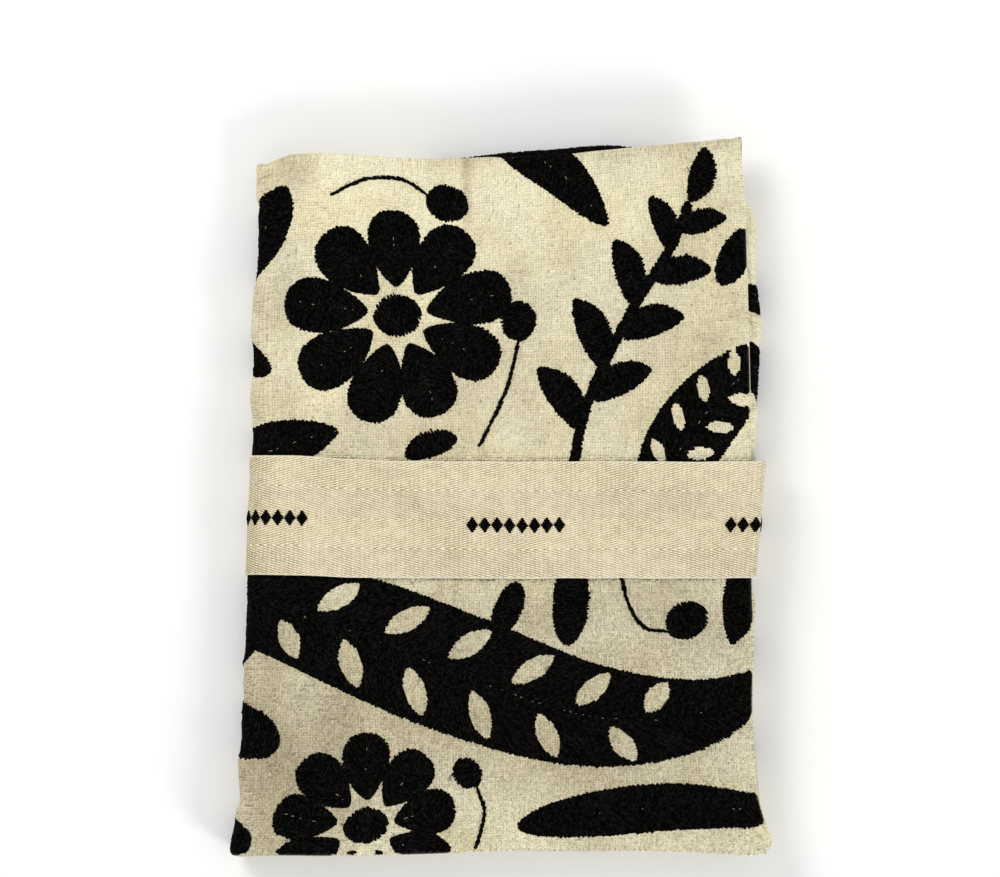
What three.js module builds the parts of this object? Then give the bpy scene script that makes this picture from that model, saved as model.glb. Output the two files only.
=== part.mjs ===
// An embroidered cushion cover folded into a flat packet, held by a woven tape band.
// Millimetres, +Z up. The packet lies face up on z = 0, with its folded end towards +Y,
// and the origin is under the middle of its outline.
//
// The cover is a bag of two square panels. It is folded in half across first, so every ply is a
// hairpin of both panels with its ridge towards +Y and its sewn edges towards -Y. The plies are
// then folded in three lengthwise: the right-hand one is turned in, and the left-hand one closes
// over it, which leaves a sewn edge lying free along the right of the front.
import * as THREE from "three";

// Driving dimensions of the cover and its cloth
const COVER_SIDE = 500;
const FRONT_THICK = 1.2;
const BACK_THICK = 1.0;
const PANEL_GAP = 0.35;
const LEG_GAP = 0.4;
const PLY_GAP = 0.8;

// Outline of the packet before the cloth goes its own way
const LEFT_EDGE = -90;
const RIGHT_FOLD = 91;
const FREE_EDGE = 88;
const RIDGE_Y = 123;
const HEM_Y = -125.5;

// The front ply steps down past the end of the ply tucked inside it
const STEP_DROP = 3.4;
const STEP_FROM = -55;
const STEP_TO = -80;

// Woven tape band
const BAND_THICK = 1.0;
const BAND_GAP = 0.35;
const BAND_TOP = 12.9;
const BAND_FOOT = -28.5;
const BAND_SIDE_TOP = 93.8;
const BAND_SIDE_FOOT = 91.4;
const BAND_CORNER = 2.2;
const LAP_HALF = 9;
const LAP_RAMP = 16;

// How the band draws the packet together, and how far the cloth takes to lie down again beside it
const SQUEEZE = 0.07;
const BRIDGE = 22;

// Heights worked out from the cloth
const PLY_HALF = LEG_GAP / 2 + BACK_THICK + PANEL_GAP + FRONT_THICK;
const PLY_STEP = 2 * PLY_HALF + PLY_GAP;
const LOW_Z = PLY_HALF;
const TUCKED_Z = LOW_Z + PLY_STEP;
const FRONT_Z = TUCKED_Z + PLY_STEP;
const LEFT_Z = FRONT_Z - STEP_DROP;
const LEFT_RADIUS = (LEFT_Z - LOW_Z) / 2;
const RIGHT_RADIUS = (TUCKED_Z - LOW_Z) / 2;
const LEFT_CENTRE = LEFT_EDGE + LEFT_RADIUS + PLY_HALF;
const RIGHT_CENTRE = RIGHT_FOLD - RIGHT_RADIUS - PLY_HALF;
const TOP_FACE = FRONT_Z + PLY_HALF;
const RIDGE_CENTRE = RIDGE_Y - PLY_HALF;
const ONE_LAYER = BAND_THICK + BAND_GAP;

// Where the long edges really run, by height up the packet
const EDGE_TABLE = [
  { y: -126, left: -94.6, free: 92.4, fold: 90.6 },
  { y: -121, left: -94.2, free: 95.0, fold: 92.6 },
  { y: -114, left: -93.2, free: 92.4, fold: 90.4 },
  { y: -104, left: -92.7, free: 90.2, fold: 89.0 },
  { y: -76, left: -92.4, free: 89.0, fold: 88.2 },
  { y: -50, left: -91.6, free: 89.4, fold: 89.8 },
  { y: -29, left: -90.7, free: 88.8, fold: 89.2 },
  { y: 16, left: -89.5, free: 88.2, fold: 89.6 },
  { y: 40, left: -89.2, free: 87.8, fold: 90.8 },
  { y: 70, left: -88.2, free: 87.2, fold: 92.0 },
  { y: 96, left: -87.3, free: 86.7, fold: 91.2 },
  { y: 111, left: -87.2, free: 85.6, fold: 90.6 },
  { y: 123, left: -86.6, free: 84.2, fold: 90.2 },
];

// Where the ridges and the sewn hems run, by distance across; low is every ply under the front one
const END_TABLE = [
  { x: -92, ridge: 118.6, lowRidge: 118.6, hem: -126.2, lowHem: -126.2 },
  { x: -77, ridge: 122.2, lowRidge: 121.8, hem: -126.6, lowHem: -126.4 },
  { x: -54, ridge: 122.0, lowRidge: 120.8, hem: -126.7, lowHem: -125.6 },
  { x: -25, ridge: 120.2, lowRidge: 120.0, hem: -126.3, lowHem: -125.2 },
  { x: 0, ridge: 121.2, lowRidge: 122.8, hem: -125.1, lowHem: -125.6 },
  { x: 20, ridge: 122.1, lowRidge: 124.3, hem: -124.7, lowHem: -125.6 },
  { x: 38, ridge: 123.2, lowRidge: 125.6, hem: -125.0, lowHem: -125.9 },
  { x: 50, ridge: 124.6, lowRidge: 124.4, hem: -125.2, lowHem: -125.4 },
  { x: 62, ridge: 125.4, lowRidge: 120.6, hem: -125.5, lowHem: -125.2 },
  { x: 73, ridge: 126.2, lowRidge: 114.6, hem: -126.1, lowHem: -125.6 },
  { x: 82, ridge: 127.0, lowRidge: 108.0, hem: -126.6, lowHem: -126.0 },
  { x: 91, ridge: 127.4, lowRidge: 98.0, hem: -125.8, lowHem: -125.2 },
];

// Soft swells and hollows of the upper plies, each a round hill of the given height and reach
const SWELLS = [
  { x: -84, y: 118, height: -2.4, reach: 26 },
  { x: 82, y: 120, height: -1.5, reach: 24 },
  { x: -20, y: 76, height: 1.1, reach: 34 },
  { x: 46, y: 92, height: 0.9, reach: 28 },
  { x: -60, y: 48, height: -0.8, reach: 24 },
  { x: 70, y: 46, height: 0.6, reach: 22 },
  { x: -50, y: -66, height: 1.2, reach: 26 },
  { x: 8, y: -92, height: -0.7, reach: 26 },
  { x: 58, y: -78, height: 1.3, reach: 28 },
  { x: -84, y: -118, height: 0.8, reach: 18 },
  { x: 88, y: -116, height: 1.4, reach: 20 },
];

// Steps along each stretch of the fold, and up each leg of the hairpin
const FRONT_STEPS = 15;
const DROP_STEPS = 5;
const LEFT_STEPS = 8;
const RIGHT_STEPS = 7;
const TUCKED_STEPS = 6;
const RIDGE_STEPS = 6;
const UNDER_X = [
  -70,
  -48,
  -LAP_HALF - LAP_RAMP,
  -LAP_HALF - LAP_RAMP / 2,
  -LAP_HALF,
  0,
  LAP_HALF,
  LAP_HALF + LAP_RAMP / 2,
  LAP_HALF + LAP_RAMP,
  48,
  70,
];
const LEG_ROWS = [HEM_Y, -121, -114, -104, -76, -50, -29, 16, 40, 70, 96, 111, RIDGE_CENTRE];

const clamp01 = (v) => Math.min(1, Math.max(0, v));
const smooth = (from, to, v) => {
  const t = clamp01((v - from) / (to - from));
  return t * t * (3 - 2 * t);
};

// Reads one column of a table along its key, as a smooth curve through the rows.
function read(table, key, column, at) {
  const last = table.length - 1;
  const v = Math.min(table[last][key], Math.max(table[0][key], at));
  let i = 0;
  while (i < last - 1 && table[i + 1][key] < v) i += 1;
  const [a, b] = [table[i], table[i + 1]];
  const [before, after] = [table[Math.max(0, i - 1)], table[Math.min(last, i + 2)]];
  const span = b[key] - a[key];
  const t = (v - a[key]) / span;
  const slopeA = (b[column] - before[column]) / (b[key] - before[key]);
  const slopeB = (after[column] - a[column]) / (after[key] - a[key]);
  const rise = 3 * t * t - 2 * t * t * t;
  return (
    a[column] * (1 - rise) +
    b[column] * rise +
    slopeA * span * (t * t * t - 2 * t * t + t) +
    slopeB * span * (t * t * t - t * t)
  );
}

// 1 where the band holds the packet, falling to 0 where the cloth lies on the surface again.
function bandHold(y) {
  return smooth(BAND_FOOT - 0.8 - BRIDGE, BAND_FOOT - 0.8, y) * (1 - smooth(BAND_TOP + 2.8, BAND_TOP + 2.8 + BRIDGE, y));
}

// 1 over the lap of the band's two ends, under the packet, falling to 0 on either side.
function lapHold(x) {
  return 1 - smooth(LAP_HALF, LAP_HALF + LAP_RAMP, Math.abs(x));
}

// Height that the swells add to the top of the packet.
function swell(x, y) {
  return SWELLS.reduce(
    (sum, hill) => sum + hill.height * Math.exp(-((x - hill.x) ** 2 + (y - hill.y) ** 2) / hill.reach ** 2),
    0,
  );
}

// Height of a point once the band has drawn the packet together and the swells have lifted it.
function settleZ(x, y, z) {
  const hold = bandHold(y);
  const lift = ONE_LAYER * hold * (1 + lapHold(x));
  if (z <= 0) return z + lift;
  const rise = (1 - hold) * swell(x, y) * (z / TOP_FACE);
  return z * (1 - SQUEEZE * hold) + rise + lift;
}

// Moves a point of the even packet to where the cloth really lies.
function settle(x, y, z) {
  const front = smooth(TUCKED_Z + PLY_HALF, FRONT_Z - PLY_HALF, z);
  const mix = (low, high) => low + (high - low) * front;
  const leftShift = read(EDGE_TABLE, "y", "left", y) - LEFT_EDGE;
  const rightShift = mix(
    read(EDGE_TABLE, "y", "fold", y) - RIGHT_FOLD,
    read(EDGE_TABLE, "y", "free", y) - FREE_EDGE,
  );
  const ridgeShift = mix(read(END_TABLE, "x", "lowRidge", x), read(END_TABLE, "x", "ridge", x)) - RIDGE_Y;
  const hemShift = mix(read(END_TABLE, "x", "lowHem", x), read(END_TABLE, "x", "hem", x)) - HEM_Y;
  return new THREE.Vector3(
    x + leftShift * smooth(-20, -84, x) + rightShift * smooth(20, 84, x),
    y + ridgeShift * smooth(30, 118, y) + hemShift * smooth(-70, -120, y),
    settleZ(x, y, z),
  );
}

// Height of the front ply's middle as it steps down towards the left fold.
function frontZ(x) {
  return FRONT_Z - STEP_DROP * smooth(STEP_FROM, STEP_TO, x);
}

// One station of the fold: a point on the ply's middle and the way out of the packet there.
function station(x, z, outX, outZ) {
  const length = Math.hypot(outX, outZ);
  return { x, z, outX: outX / length, outZ: outZ / length };
}

function frontStation(x) {
  const slope = frontZ(x + 0.5) - frontZ(x - 0.5);
  return station(x, frontZ(x), -slope, 1);
}

// A half turn about a centre, from one angle to another, without its first point.
function turn(centreX, centreZ, radius, from, to, steps) {
  return Array.from({ length: steps }, (_, i) => {
    const angle = from + ((to - from) * (i + 1)) / steps;
    return station(
      centreX + radius * Math.cos(angle),
      centreZ + radius * Math.sin(angle),
      Math.cos(angle),
      Math.sin(angle),
    );
  });
}

// A straight level stretch of the tucked ply, without its first point.
function tucked(fromX, toX) {
  return Array.from({ length: TUCKED_STEPS }, (_, i) =>
    station(fromX + ((toX - fromX) * (i + 1)) / TUCKED_STEPS, TUCKED_Z, 0, 1),
  );
}

function lengthOf(stations) {
  return stations.slice(1).reduce((sum, p, i) => sum + Math.hypot(p.x - stations[i].x, p.z - stations[i].z), 0);
}

// The whole cover from its free edge on the front, round both folds, to the edge tucked inside.
function foldStations() {
  const front = [];
  for (let i = 0; i <= FRONT_STEPS; i += 1) {
    front.push(frontStation(FREE_EDGE + ((STEP_FROM - FREE_EDGE) * i) / FRONT_STEPS));
  }
  for (let i = 1; i <= DROP_STEPS; i += 1) {
    front.push(frontStation(STEP_FROM + ((LEFT_CENTRE - STEP_FROM) * i) / DROP_STEPS));
  }
  const left = turn(LEFT_CENTRE, LOW_Z + LEFT_RADIUS, LEFT_RADIUS, Math.PI / 2, (3 * Math.PI) / 2, LEFT_STEPS);
  const low = [...UNDER_X, RIGHT_CENTRE].map((x) => station(x, LOW_Z, 0, -1));
  const right = turn(RIGHT_CENTRE, LOW_Z + RIGHT_RADIUS, RIGHT_RADIUS, -Math.PI / 2, Math.PI / 2, RIGHT_STEPS);
  const around = [...front, ...left, ...low, ...right];
  const remaining = COVER_SIDE - lengthOf(around);
  return [...around, ...tucked(RIGHT_CENTRE, RIGHT_CENTRE - remaining)];
}

// One face of a hairpin, as distances from the ply's middle and heights up the packet.
function hairpinFace(offset) {
  const up = LEG_ROWS.map((y) => ({ out: offset, y }));
  const ridge = [];
  for (let i = 1; i < RIDGE_STEPS; i += 1) {
    const angle = (Math.PI * i) / RIDGE_STEPS;
    ridge.push({ out: offset * Math.cos(angle), y: RIDGE_CENTRE + offset * Math.sin(angle) });
  }
  const down = [...LEG_ROWS].reverse().map((y) => ({ out: -offset, y }));
  return [...up, ...ridge, ...down];
}

// Joins two grids of points, the outer and the inner face of a sheet, into one closed solid.
function thickSheet(name, material, outer, inner) {
  const rows = outer.length;
  const columns = outer[0].length;
  const positions = [...outer.flat(), ...inner.flat()].flatMap((p) => [p.x, p.y, p.z]);
  const indices = [];
  const quad = (a, b, c, d) => indices.push(a, b, c, a, c, d);
  const o = (i, j) => i * columns + j;
  const n = (i, j) => (rows + i) * columns + j;
  for (let i = 0; i < rows - 1; i += 1) {
    for (let j = 0; j < columns - 1; j += 1) {
      quad(o(i, j), o(i, j + 1), o(i + 1, j + 1), o(i + 1, j));
      quad(n(i, j), n(i + 1, j), n(i + 1, j + 1), n(i, j + 1));
    }
    const j = columns - 1;
    quad(o(i, 0), o(i + 1, 0), n(i + 1, 0), n(i, 0));
    quad(o(i + 1, j), o(i, j), n(i, j), n(i + 1, j));
  }
  for (let j = 0; j < columns - 1; j += 1) {
    const i = rows - 1;
    quad(o(0, j + 1), o(0, j), n(0, j), n(0, j + 1));
    quad(o(i, j), o(i, j + 1), n(i, j + 1), n(i, j));
  }
  const geometry = new THREE.BufferGeometry();
  geometry.setAttribute("position", new THREE.Float32BufferAttribute(positions, 3));
  geometry.setIndex(indices);
  geometry.computeVertexNormals();
  const mesh = new THREE.Mesh(geometry, material);
  mesh.name = name;
  return mesh;
}

// A panel of the cover: a hairpin between two distances from the ply's middle, carried round the folds.
function panel(name, material, outerOffset, innerOffset) {
  const stations = foldStations();
  const face = (offset) =>
    stations.map((s) => hairpinFace(offset).map((p) => settle(s.x + p.out * s.outX, p.y, s.z + p.out * s.outZ)));
  return thickSheet(name, material, face(outerOffset), face(innerOffset));
}

// The band's right-hand side: out past the free edge, a round corner, down, and a round corner under.
function bandSide(inner) {
  const outward = inner ? 0 : BAND_THICK;
  const radius = BAND_CORNER + outward;
  const topZ = TOP_FACE + BAND_GAP - BAND_CORNER;
  const footZ = -BAND_GAP + BAND_CORNER;
  const corner = (z, from) =>
    [0, 0.25, 0.5, 0.75, 1].map((t) => {
      const angle = from - (t * Math.PI) / 2;
      return { fromSide: radius * Math.cos(angle) - radius, z: z + radius * Math.sin(angle) };
    });
  return [...corner(topZ, Math.PI / 2), ...corner(footZ, 0)];
}

// The band from its end under the packet, round the left fold and over the front, down the right-hand
// side, and under itself to its other end.
function band(name, material) {
  const around = foldStations().slice(0, FRONT_STEPS + DROP_STEPS + LEFT_STEPS + 1).reverse();
  const leftwards = [...UNDER_X].reverse();
  const under = leftwards.filter((x) => x <= LAP_HALF);
  const back = leftwards.filter((x) => x >= -LAP_HALF);
  const face = (inner) => {
    const outward = BAND_GAP + (inner ? 0 : BAND_THICK);
    const row = (pointAt) => [BAND_FOOT, (BAND_FOOT + BAND_TOP) / 2, BAND_TOP].map(pointAt);
    const shifted = (x, y, z) => {
      const leftShift = read(EDGE_TABLE, "y", "left", y) - LEFT_EDGE;
      return new THREE.Vector3(x + leftShift * smooth(-20, -84, x), y, settleZ(x, y, z));
    };
    const sideX = (y) =>
      THREE.MathUtils.mapLinear(y, BAND_FOOT, BAND_TOP, BAND_SIDE_FOOT, BAND_SIDE_TOP) - (inner ? BAND_THICK : 0);
    return [
      ...under.map((x) => row((y) => shifted(x, y, -outward))),
      ...around
        .filter((s) => s.x < FREE_EDGE - 1)
        .map((s) =>
          row((y) => shifted(s.x + (PLY_HALF + outward) * s.outX, y, s.z + (PLY_HALF + outward) * s.outZ)),
        ),
      ...bandSide(inner).map((p) => row((y) => shifted(sideX(y) + p.fromSide, y, p.z))),
      ...back.map((x) => row((y) => shifted(x, y, -outward - ONE_LAYER * lapHold(x)))),
    ];
  };
  return thickSheet(name, material, face(false).reverse(), face(true).reverse());
}

const embroideredCotton = new THREE.MeshStandardMaterial({ color: 0xe4dcbf, roughness: 0.9, metalness: 0 });
const plainCotton = new THREE.MeshStandardMaterial({ color: 0xe0d7b8, roughness: 0.9, metalness: 0 });
const wovenTape = new THREE.MeshStandardMaterial({ color: 0xded0a8, roughness: 0.85, metalness: 0 });

const frontPanel = panel("front_panel", embroideredCotton, PLY_HALF, PLY_HALF - FRONT_THICK);
const backPanel = panel("back_panel", plainCotton, LEG_GAP / 2 + BACK_THICK, LEG_GAP / 2);
const tapeBand = band("band", wovenTape);

const packet = new THREE.Group();
packet.add(frontPanel, backPanel, tapeBand);

// Stand the origin under the middle of the packet's outline.
const outline = new THREE.Box3().setFromObject(packet);
const middle = outline.getCenter(new THREE.Vector3());
packet.position.set(-middle.x, -middle.y, -outline.min.z);

export default packet;
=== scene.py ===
"""A folded, embroidered cushion cover held by a woven tape band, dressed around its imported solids.

Lengths are millimetres until a mesh is made, and the frame is in metres. The cover's cloth has two
coordinates. s runs from the free sewn edge on the front, round the left fold, under the packet, round the
right fold and into the tucked ply. v runs from the sewn hem up the outer leg of the fold, over its ridge
and down the inner leg. Every surface and every stitch is worked out on the cloth and then carried round
the folds by one mapping, so the stitches lie on the cloth wherever it goes.
"""

import logging
import math
from dataclasses import dataclass, field, replace
from enum import Enum
from typing import Any, NamedTuple, Sequence

import bpy
import numpy as np
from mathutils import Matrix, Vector
from numpy.typing import NDArray

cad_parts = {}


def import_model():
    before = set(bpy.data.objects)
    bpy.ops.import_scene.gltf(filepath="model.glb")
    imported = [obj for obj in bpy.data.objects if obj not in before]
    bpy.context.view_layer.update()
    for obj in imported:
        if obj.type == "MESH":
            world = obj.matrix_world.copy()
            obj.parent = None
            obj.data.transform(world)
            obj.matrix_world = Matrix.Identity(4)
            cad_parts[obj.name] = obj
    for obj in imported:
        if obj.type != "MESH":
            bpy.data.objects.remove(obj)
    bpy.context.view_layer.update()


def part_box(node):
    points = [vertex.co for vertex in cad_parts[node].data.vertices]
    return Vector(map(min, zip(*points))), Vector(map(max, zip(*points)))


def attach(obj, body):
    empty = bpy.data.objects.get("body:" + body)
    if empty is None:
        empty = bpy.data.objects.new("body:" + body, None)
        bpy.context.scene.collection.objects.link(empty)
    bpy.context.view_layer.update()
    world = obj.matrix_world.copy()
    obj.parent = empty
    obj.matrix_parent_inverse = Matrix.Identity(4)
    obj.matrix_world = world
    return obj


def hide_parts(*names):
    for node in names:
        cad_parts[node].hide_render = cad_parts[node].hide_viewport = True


log = logging.getLogger("cushion_cover")

Array = NDArray[Any]
Point = tuple[float, float]
Colour = tuple[float, float, float, float]

MM = 0.001


def smooth(start: float, end: float, value: Array) -> Array:
    """A soft step, 3t² − 2t³ of the share t of the way from start to end, held between 0 and 1.

    Args:
        start: the value where the step is 0.
        end: the value where the step is 1, which may be the smaller one.
        value: where to read the step.

    Returns:
        The step's height at each value.
    """
    t = np.clip((np.asarray(value, float) - start) / (end - start), 0.0, 1.0)
    return t * t * (3.0 - 2.0 * t)


def evenly(start: float, end: float, step: float) -> Array:
    """Points from start up to but without end, as near to step apart as fits a whole number of them."""
    return np.linspace(start, end, max(1, round(abs(end - start) / step)), endpoint=False)


def between(low: tuple[float, float], high: tuple[float, float], value: Array) -> Array:
    """1 between two soft steps: it rises over the values in low and falls again over those in high."""
    return smooth(*low, value) * (1.0 - smooth(*high, value))


def distances(line: Array) -> Array:
    """Distance of each of a line's points along it, from its first."""
    return np.concatenate([[0.0], np.cumsum(np.linalg.norm(np.diff(line, axis=0), axis=1))])


def normals(line: Array) -> Array:
    """The unit vectors to the left of a line at each of its points."""
    way = np.gradient(line, axis=0)
    return np.stack([-way[:, 1], way[:, 0]], axis=-1) / np.linalg.norm(way, axis=1, keepdims=True)


def arc(x: float, z: float, radius: float, turn: Array) -> Array:
    """Points of a circle about x and z, at angles that run from across towards up."""
    return np.stack([x + radius * np.cos(turn), z + radius * np.sin(turn)], axis=-1)


def read_line(at: Array, keys: Array, line: Array) -> Array:
    """Points of a line between its own, whose places along it are in keys."""
    return np.stack([np.interp(at, keys, line[:, k]) for k in range(2)], axis=-1)


# The cover as it is folded


class EdgeRow(NamedTuple):
    """Where the long edges run at one height up the packet."""

    y: float
    left: float
    free: float
    fold: float


class EndRow(NamedTuple):
    """Where ridges and hems run at one distance across; low is every ply under the front one."""

    x: float
    ridge: float
    low_ridge: float
    hem: float
    low_hem: float


class Bell(NamedTuple):
    """One round bell on the packet: its middle, its height, below 0 for a hollow, and its reach."""

    x: float
    y: float
    height: float
    reach: float


EDGES = (
    EdgeRow(-126, -97.0, 93.2, 91.4),
    EdgeRow(-121, -96.6, 95.8, 93.2),
    EdgeRow(-114, -95.2, 93.4, 91.2),
    EdgeRow(-104, -93.8, 90.8, 89.4),
    EdgeRow(-76, -92.7, 89.0, 88.2),
    EdgeRow(-50, -91.6, 89.4, 89.8),
    EdgeRow(-29, -90.7, 88.8, 89.2),
    EdgeRow(16, -88.9, 88.6, 90.4),
    EdgeRow(40, -88.5, 88.2, 92.0),
    EdgeRow(70, -88.5, 87.4, 92.8),
    EdgeRow(96, -87.3, 86.7, 91.2),
    EdgeRow(111, -87.2, 85.6, 90.6),
    EdgeRow(123, -86.6, 84.2, 90.2),
)

ENDS = (
    EndRow(-92, 117.9, 117.7, -127.9, -127.7),
    EndRow(-85, 119.8, 119.4, -127.5, -127.3),
    EndRow(-77, 122.2, 121.8, -127.1, -126.9),
    EndRow(-54, 122.0, 120.8, -127.0, -125.9),
    EndRow(-25, 120.2, 120.0, -126.3, -125.2),
    EndRow(0, 121.2, 122.8, -125.1, -125.6),
    EndRow(20, 122.1, 124.3, -124.7, -125.6),
    EndRow(38, 123.2, 125.6, -125.0, -125.9),
    EndRow(50, 124.6, 124.4, -125.2, -125.4),
    EndRow(62, 125.4, 120.6, -125.5, -125.2),
    EndRow(73, 126.4, 115.4, -126.1, -125.6),
    EndRow(82, 127.2, 110.6, -126.6, -126.0),
    EndRow(91, 127.8, 103.0, -125.8, -125.2),
)

HILLS = (
    Bell(-84, 118, -2.4, 26),
    Bell(82, 120, -1.5, 24),
    Bell(-20, 76, 1.1, 34),
    Bell(46, 92, 0.9, 28),
    Bell(-60, 48, -0.8, 24),
    Bell(70, 46, 0.6, 22),
    Bell(-50, -66, 1.2, 26),
    Bell(8, -92, -0.7, 26),
    Bell(58, -78, 1.3, 28),
    Bell(-84, -118, 0.8, 18),
    Bell(88, -116, 1.4, 20),
)

# Bells of browner and lighter tone on the front. They are partly the cloth's own clouds and partly painted
# shade and light over the packet's large swells.
TONE_AND_SHADE_BELLS = (
    Bell(-62, 108, -0.25, 30),
    Bell(-70, 44, -0.35, 26),
    Bell(-84, 80, 0.40, 16),
    Bell(2, 80, 0.42, 22),
    Bell(0, 42, 0.10, 22),
    Bell(54, 84, 0.45, 22),
    Bell(56, 28, 0.22, 18),
    Bell(16, -46, 0.12, 34),
    Bell(58, -48, 0.48, 18),
    Bell(-56, -76, 0.42, 15),
    Bell(-22, -84, 0.30, 24),
    Bell(-80, -84, 0.30, 24),
    Bell(-62, -100, 0.40, 22),
    Bell(30, -92, 0.25, 22),
)


def bells(table: Sequence[Bell], x: Array, y: Array) -> Array:
    """The sum of a table's bells at x and y."""
    return sum(b.height * np.exp(-((x - b.x) ** 2 + (y - b.y) ** 2) / b.reach**2) for b in table)


def read_rows(rows: Sequence[NamedTuple], column: str, at: Array) -> Array:
    """Reads one column along a table's first one, as a smooth curve of cubic pieces through its rows.

    Args:
        rows: the table, in rising order of its first column.
        column: the name of the column to read.
        at: where to read it, held to the table's ends.

    Returns:
        The column's value at each place.
    """
    keys = np.array([row[0] for row in rows], float)
    values = np.array([getattr(row, column) for row in rows], float)
    last = len(keys) - 1
    place = np.clip(np.asarray(at, float), keys[0], keys[-1])
    i = np.clip(np.searchsorted(keys[1:], place), 0, last - 1)
    before = np.maximum(i - 1, 0)
    after = np.minimum(i + 2, last)
    span = keys[i + 1] - keys[i]
    t = (place - keys[i]) / span
    slope_a = (values[i + 1] - values[before]) / (keys[i + 1] - keys[before])
    slope_b = (values[after] - values[i]) / (keys[after] - keys[i])
    rise = t * t * (3.0 - 2.0 * t)
    return (
        values[i] * (1.0 - rise)
        + values[i + 1] * rise
        + slope_a * span * (t**3 - 2.0 * t**2 + t)
        + slope_b * span * (t**3 - t**2)
    )


@dataclass(frozen=True)
class CoverSize:
    """Sizes of the cover's cloth and of the packet it is folded into."""

    side: float = 500.0
    front_thick: float = 1.2
    back_thick: float = 1.0
    panel_gap: float = 0.35
    leg_gap: float = 0.4
    ply_gap: float = 0.8
    left_edge: float = -90.0
    right_fold: float = 91.0
    free_edge: float = 88.0
    ridge_y: float = 123.0
    hem_y: float = -125.5
    step_drop: float = 3.4
    step_from: float = -55.0
    step_to: float = -80.0

    @property
    def ply_half(self) -> float:
        """Half the thickness of one ply of the fold."""
        return self.leg_gap / 2 + self.back_thick + self.panel_gap + self.front_thick

    @property
    def low_z(self) -> float:
        """Height of the lowest ply's middle."""
        return self.ply_half

    @property
    def tucked_z(self) -> float:
        """Height of the tucked ply's middle."""
        return self.low_z + 2 * self.ply_half + self.ply_gap

    @property
    def front_z(self) -> float:
        """Height of the front ply's middle."""
        return self.tucked_z + 2 * self.ply_half + self.ply_gap

    @property
    def top_face(self) -> float:
        """Height of the packet's top face."""
        return self.front_z + self.ply_half

    @property
    def left_radius(self) -> float:
        """Radius of the left fold's middle."""
        return (self.front_z - self.step_drop - self.low_z) / 2

    @property
    def right_radius(self) -> float:
        """Radius of the right fold's middle."""
        return (self.tucked_z - self.low_z) / 2

    @property
    def left_centre(self) -> float:
        """Centre of the left fold."""
        return self.left_edge + self.left_radius + self.ply_half

    @property
    def right_centre(self) -> float:
        """Centre of the right fold."""
        return self.right_fold - self.right_radius - self.ply_half

    @property
    def ridge_centre(self) -> float:
        """Centre of the ridge that closes each ply at its upper end."""
        return self.ridge_y - self.ply_half

    @property
    def leg(self) -> float:
        """Length of a ply's outer leg, from hem to ridge."""
        return self.ridge_centre - self.hem_y

    @property
    def ridge_radius(self) -> float:
        """Radius at which v is measured round the ridge, the middle of the front panel's cloth."""
        return self.ply_half - self.front_thick / 2

    @property
    def ridge_turn(self) -> float:
        """Length of the half turn at the ridge."""
        return math.pi * self.ridge_radius

    @property
    def v_end(self) -> float:
        """v at the hem of the inner leg."""
        return 2 * self.leg + self.ridge_turn

    @property
    def seam_level(self) -> float:
        """Distance of the seam between the two panels from the ply's middle."""
        return self.leg_gap / 2 + self.back_thick + self.panel_gap / 2

    @property
    def left_start(self) -> float:
        """s where the left fold starts."""
        return self.free_edge - self.left_centre

    @property
    def low_start(self) -> float:
        """s where the lowest ply starts."""
        return self.left_start + math.pi * self.left_radius

    @property
    def right_start(self) -> float:
        """s where the right fold starts."""
        return self.low_start + self.right_centre - self.left_centre

    @property
    def tucked_start(self) -> float:
        """s where the tucked ply starts."""
        return self.right_start + math.pi * self.right_radius

    @property
    def turns(self) -> tuple[float, float, float, float]:
        """s at both ends of the left fold and of the right one."""
        return self.left_start, self.low_start, self.right_start, self.tucked_start


@dataclass(frozen=True)
class BandSize:
    """Sizes of the tape band and of how it draws the packet together."""

    thick: float = 1.0
    gap: float = 0.35
    top: float = 12.9
    foot: float = -28.5
    side_top: float = 93.8
    side_foot: float = 90.4
    corner: float = 2.2
    lap_half: float = 9.0
    lap_ramp: float = 16.0
    squeeze: float = 0.07
    bridge: float = 22.0

    @property
    def one_layer(self) -> float:
        """Room that one layer of tape takes under the packet."""
        return self.thick + self.gap

    @property
    def width(self) -> float:
        """Width of the tape."""
        return self.top - self.foot

    def hold(self, y: Array) -> Array:
        """1 where the band holds the packet, falling to 0 where the cloth lies down again beside it."""
        foot, top = self.foot - 0.8, self.top + 2.8
        return between((foot - self.bridge, foot), (top, top + self.bridge), y)

    def lap(self, x: Array) -> Array:
        """1 over the lap of the tape's two ends under the packet, falling to 0 on either side."""
        return 1.0 - smooth(self.lap_half, self.lap_half + self.lap_ramp, np.abs(x))


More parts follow.
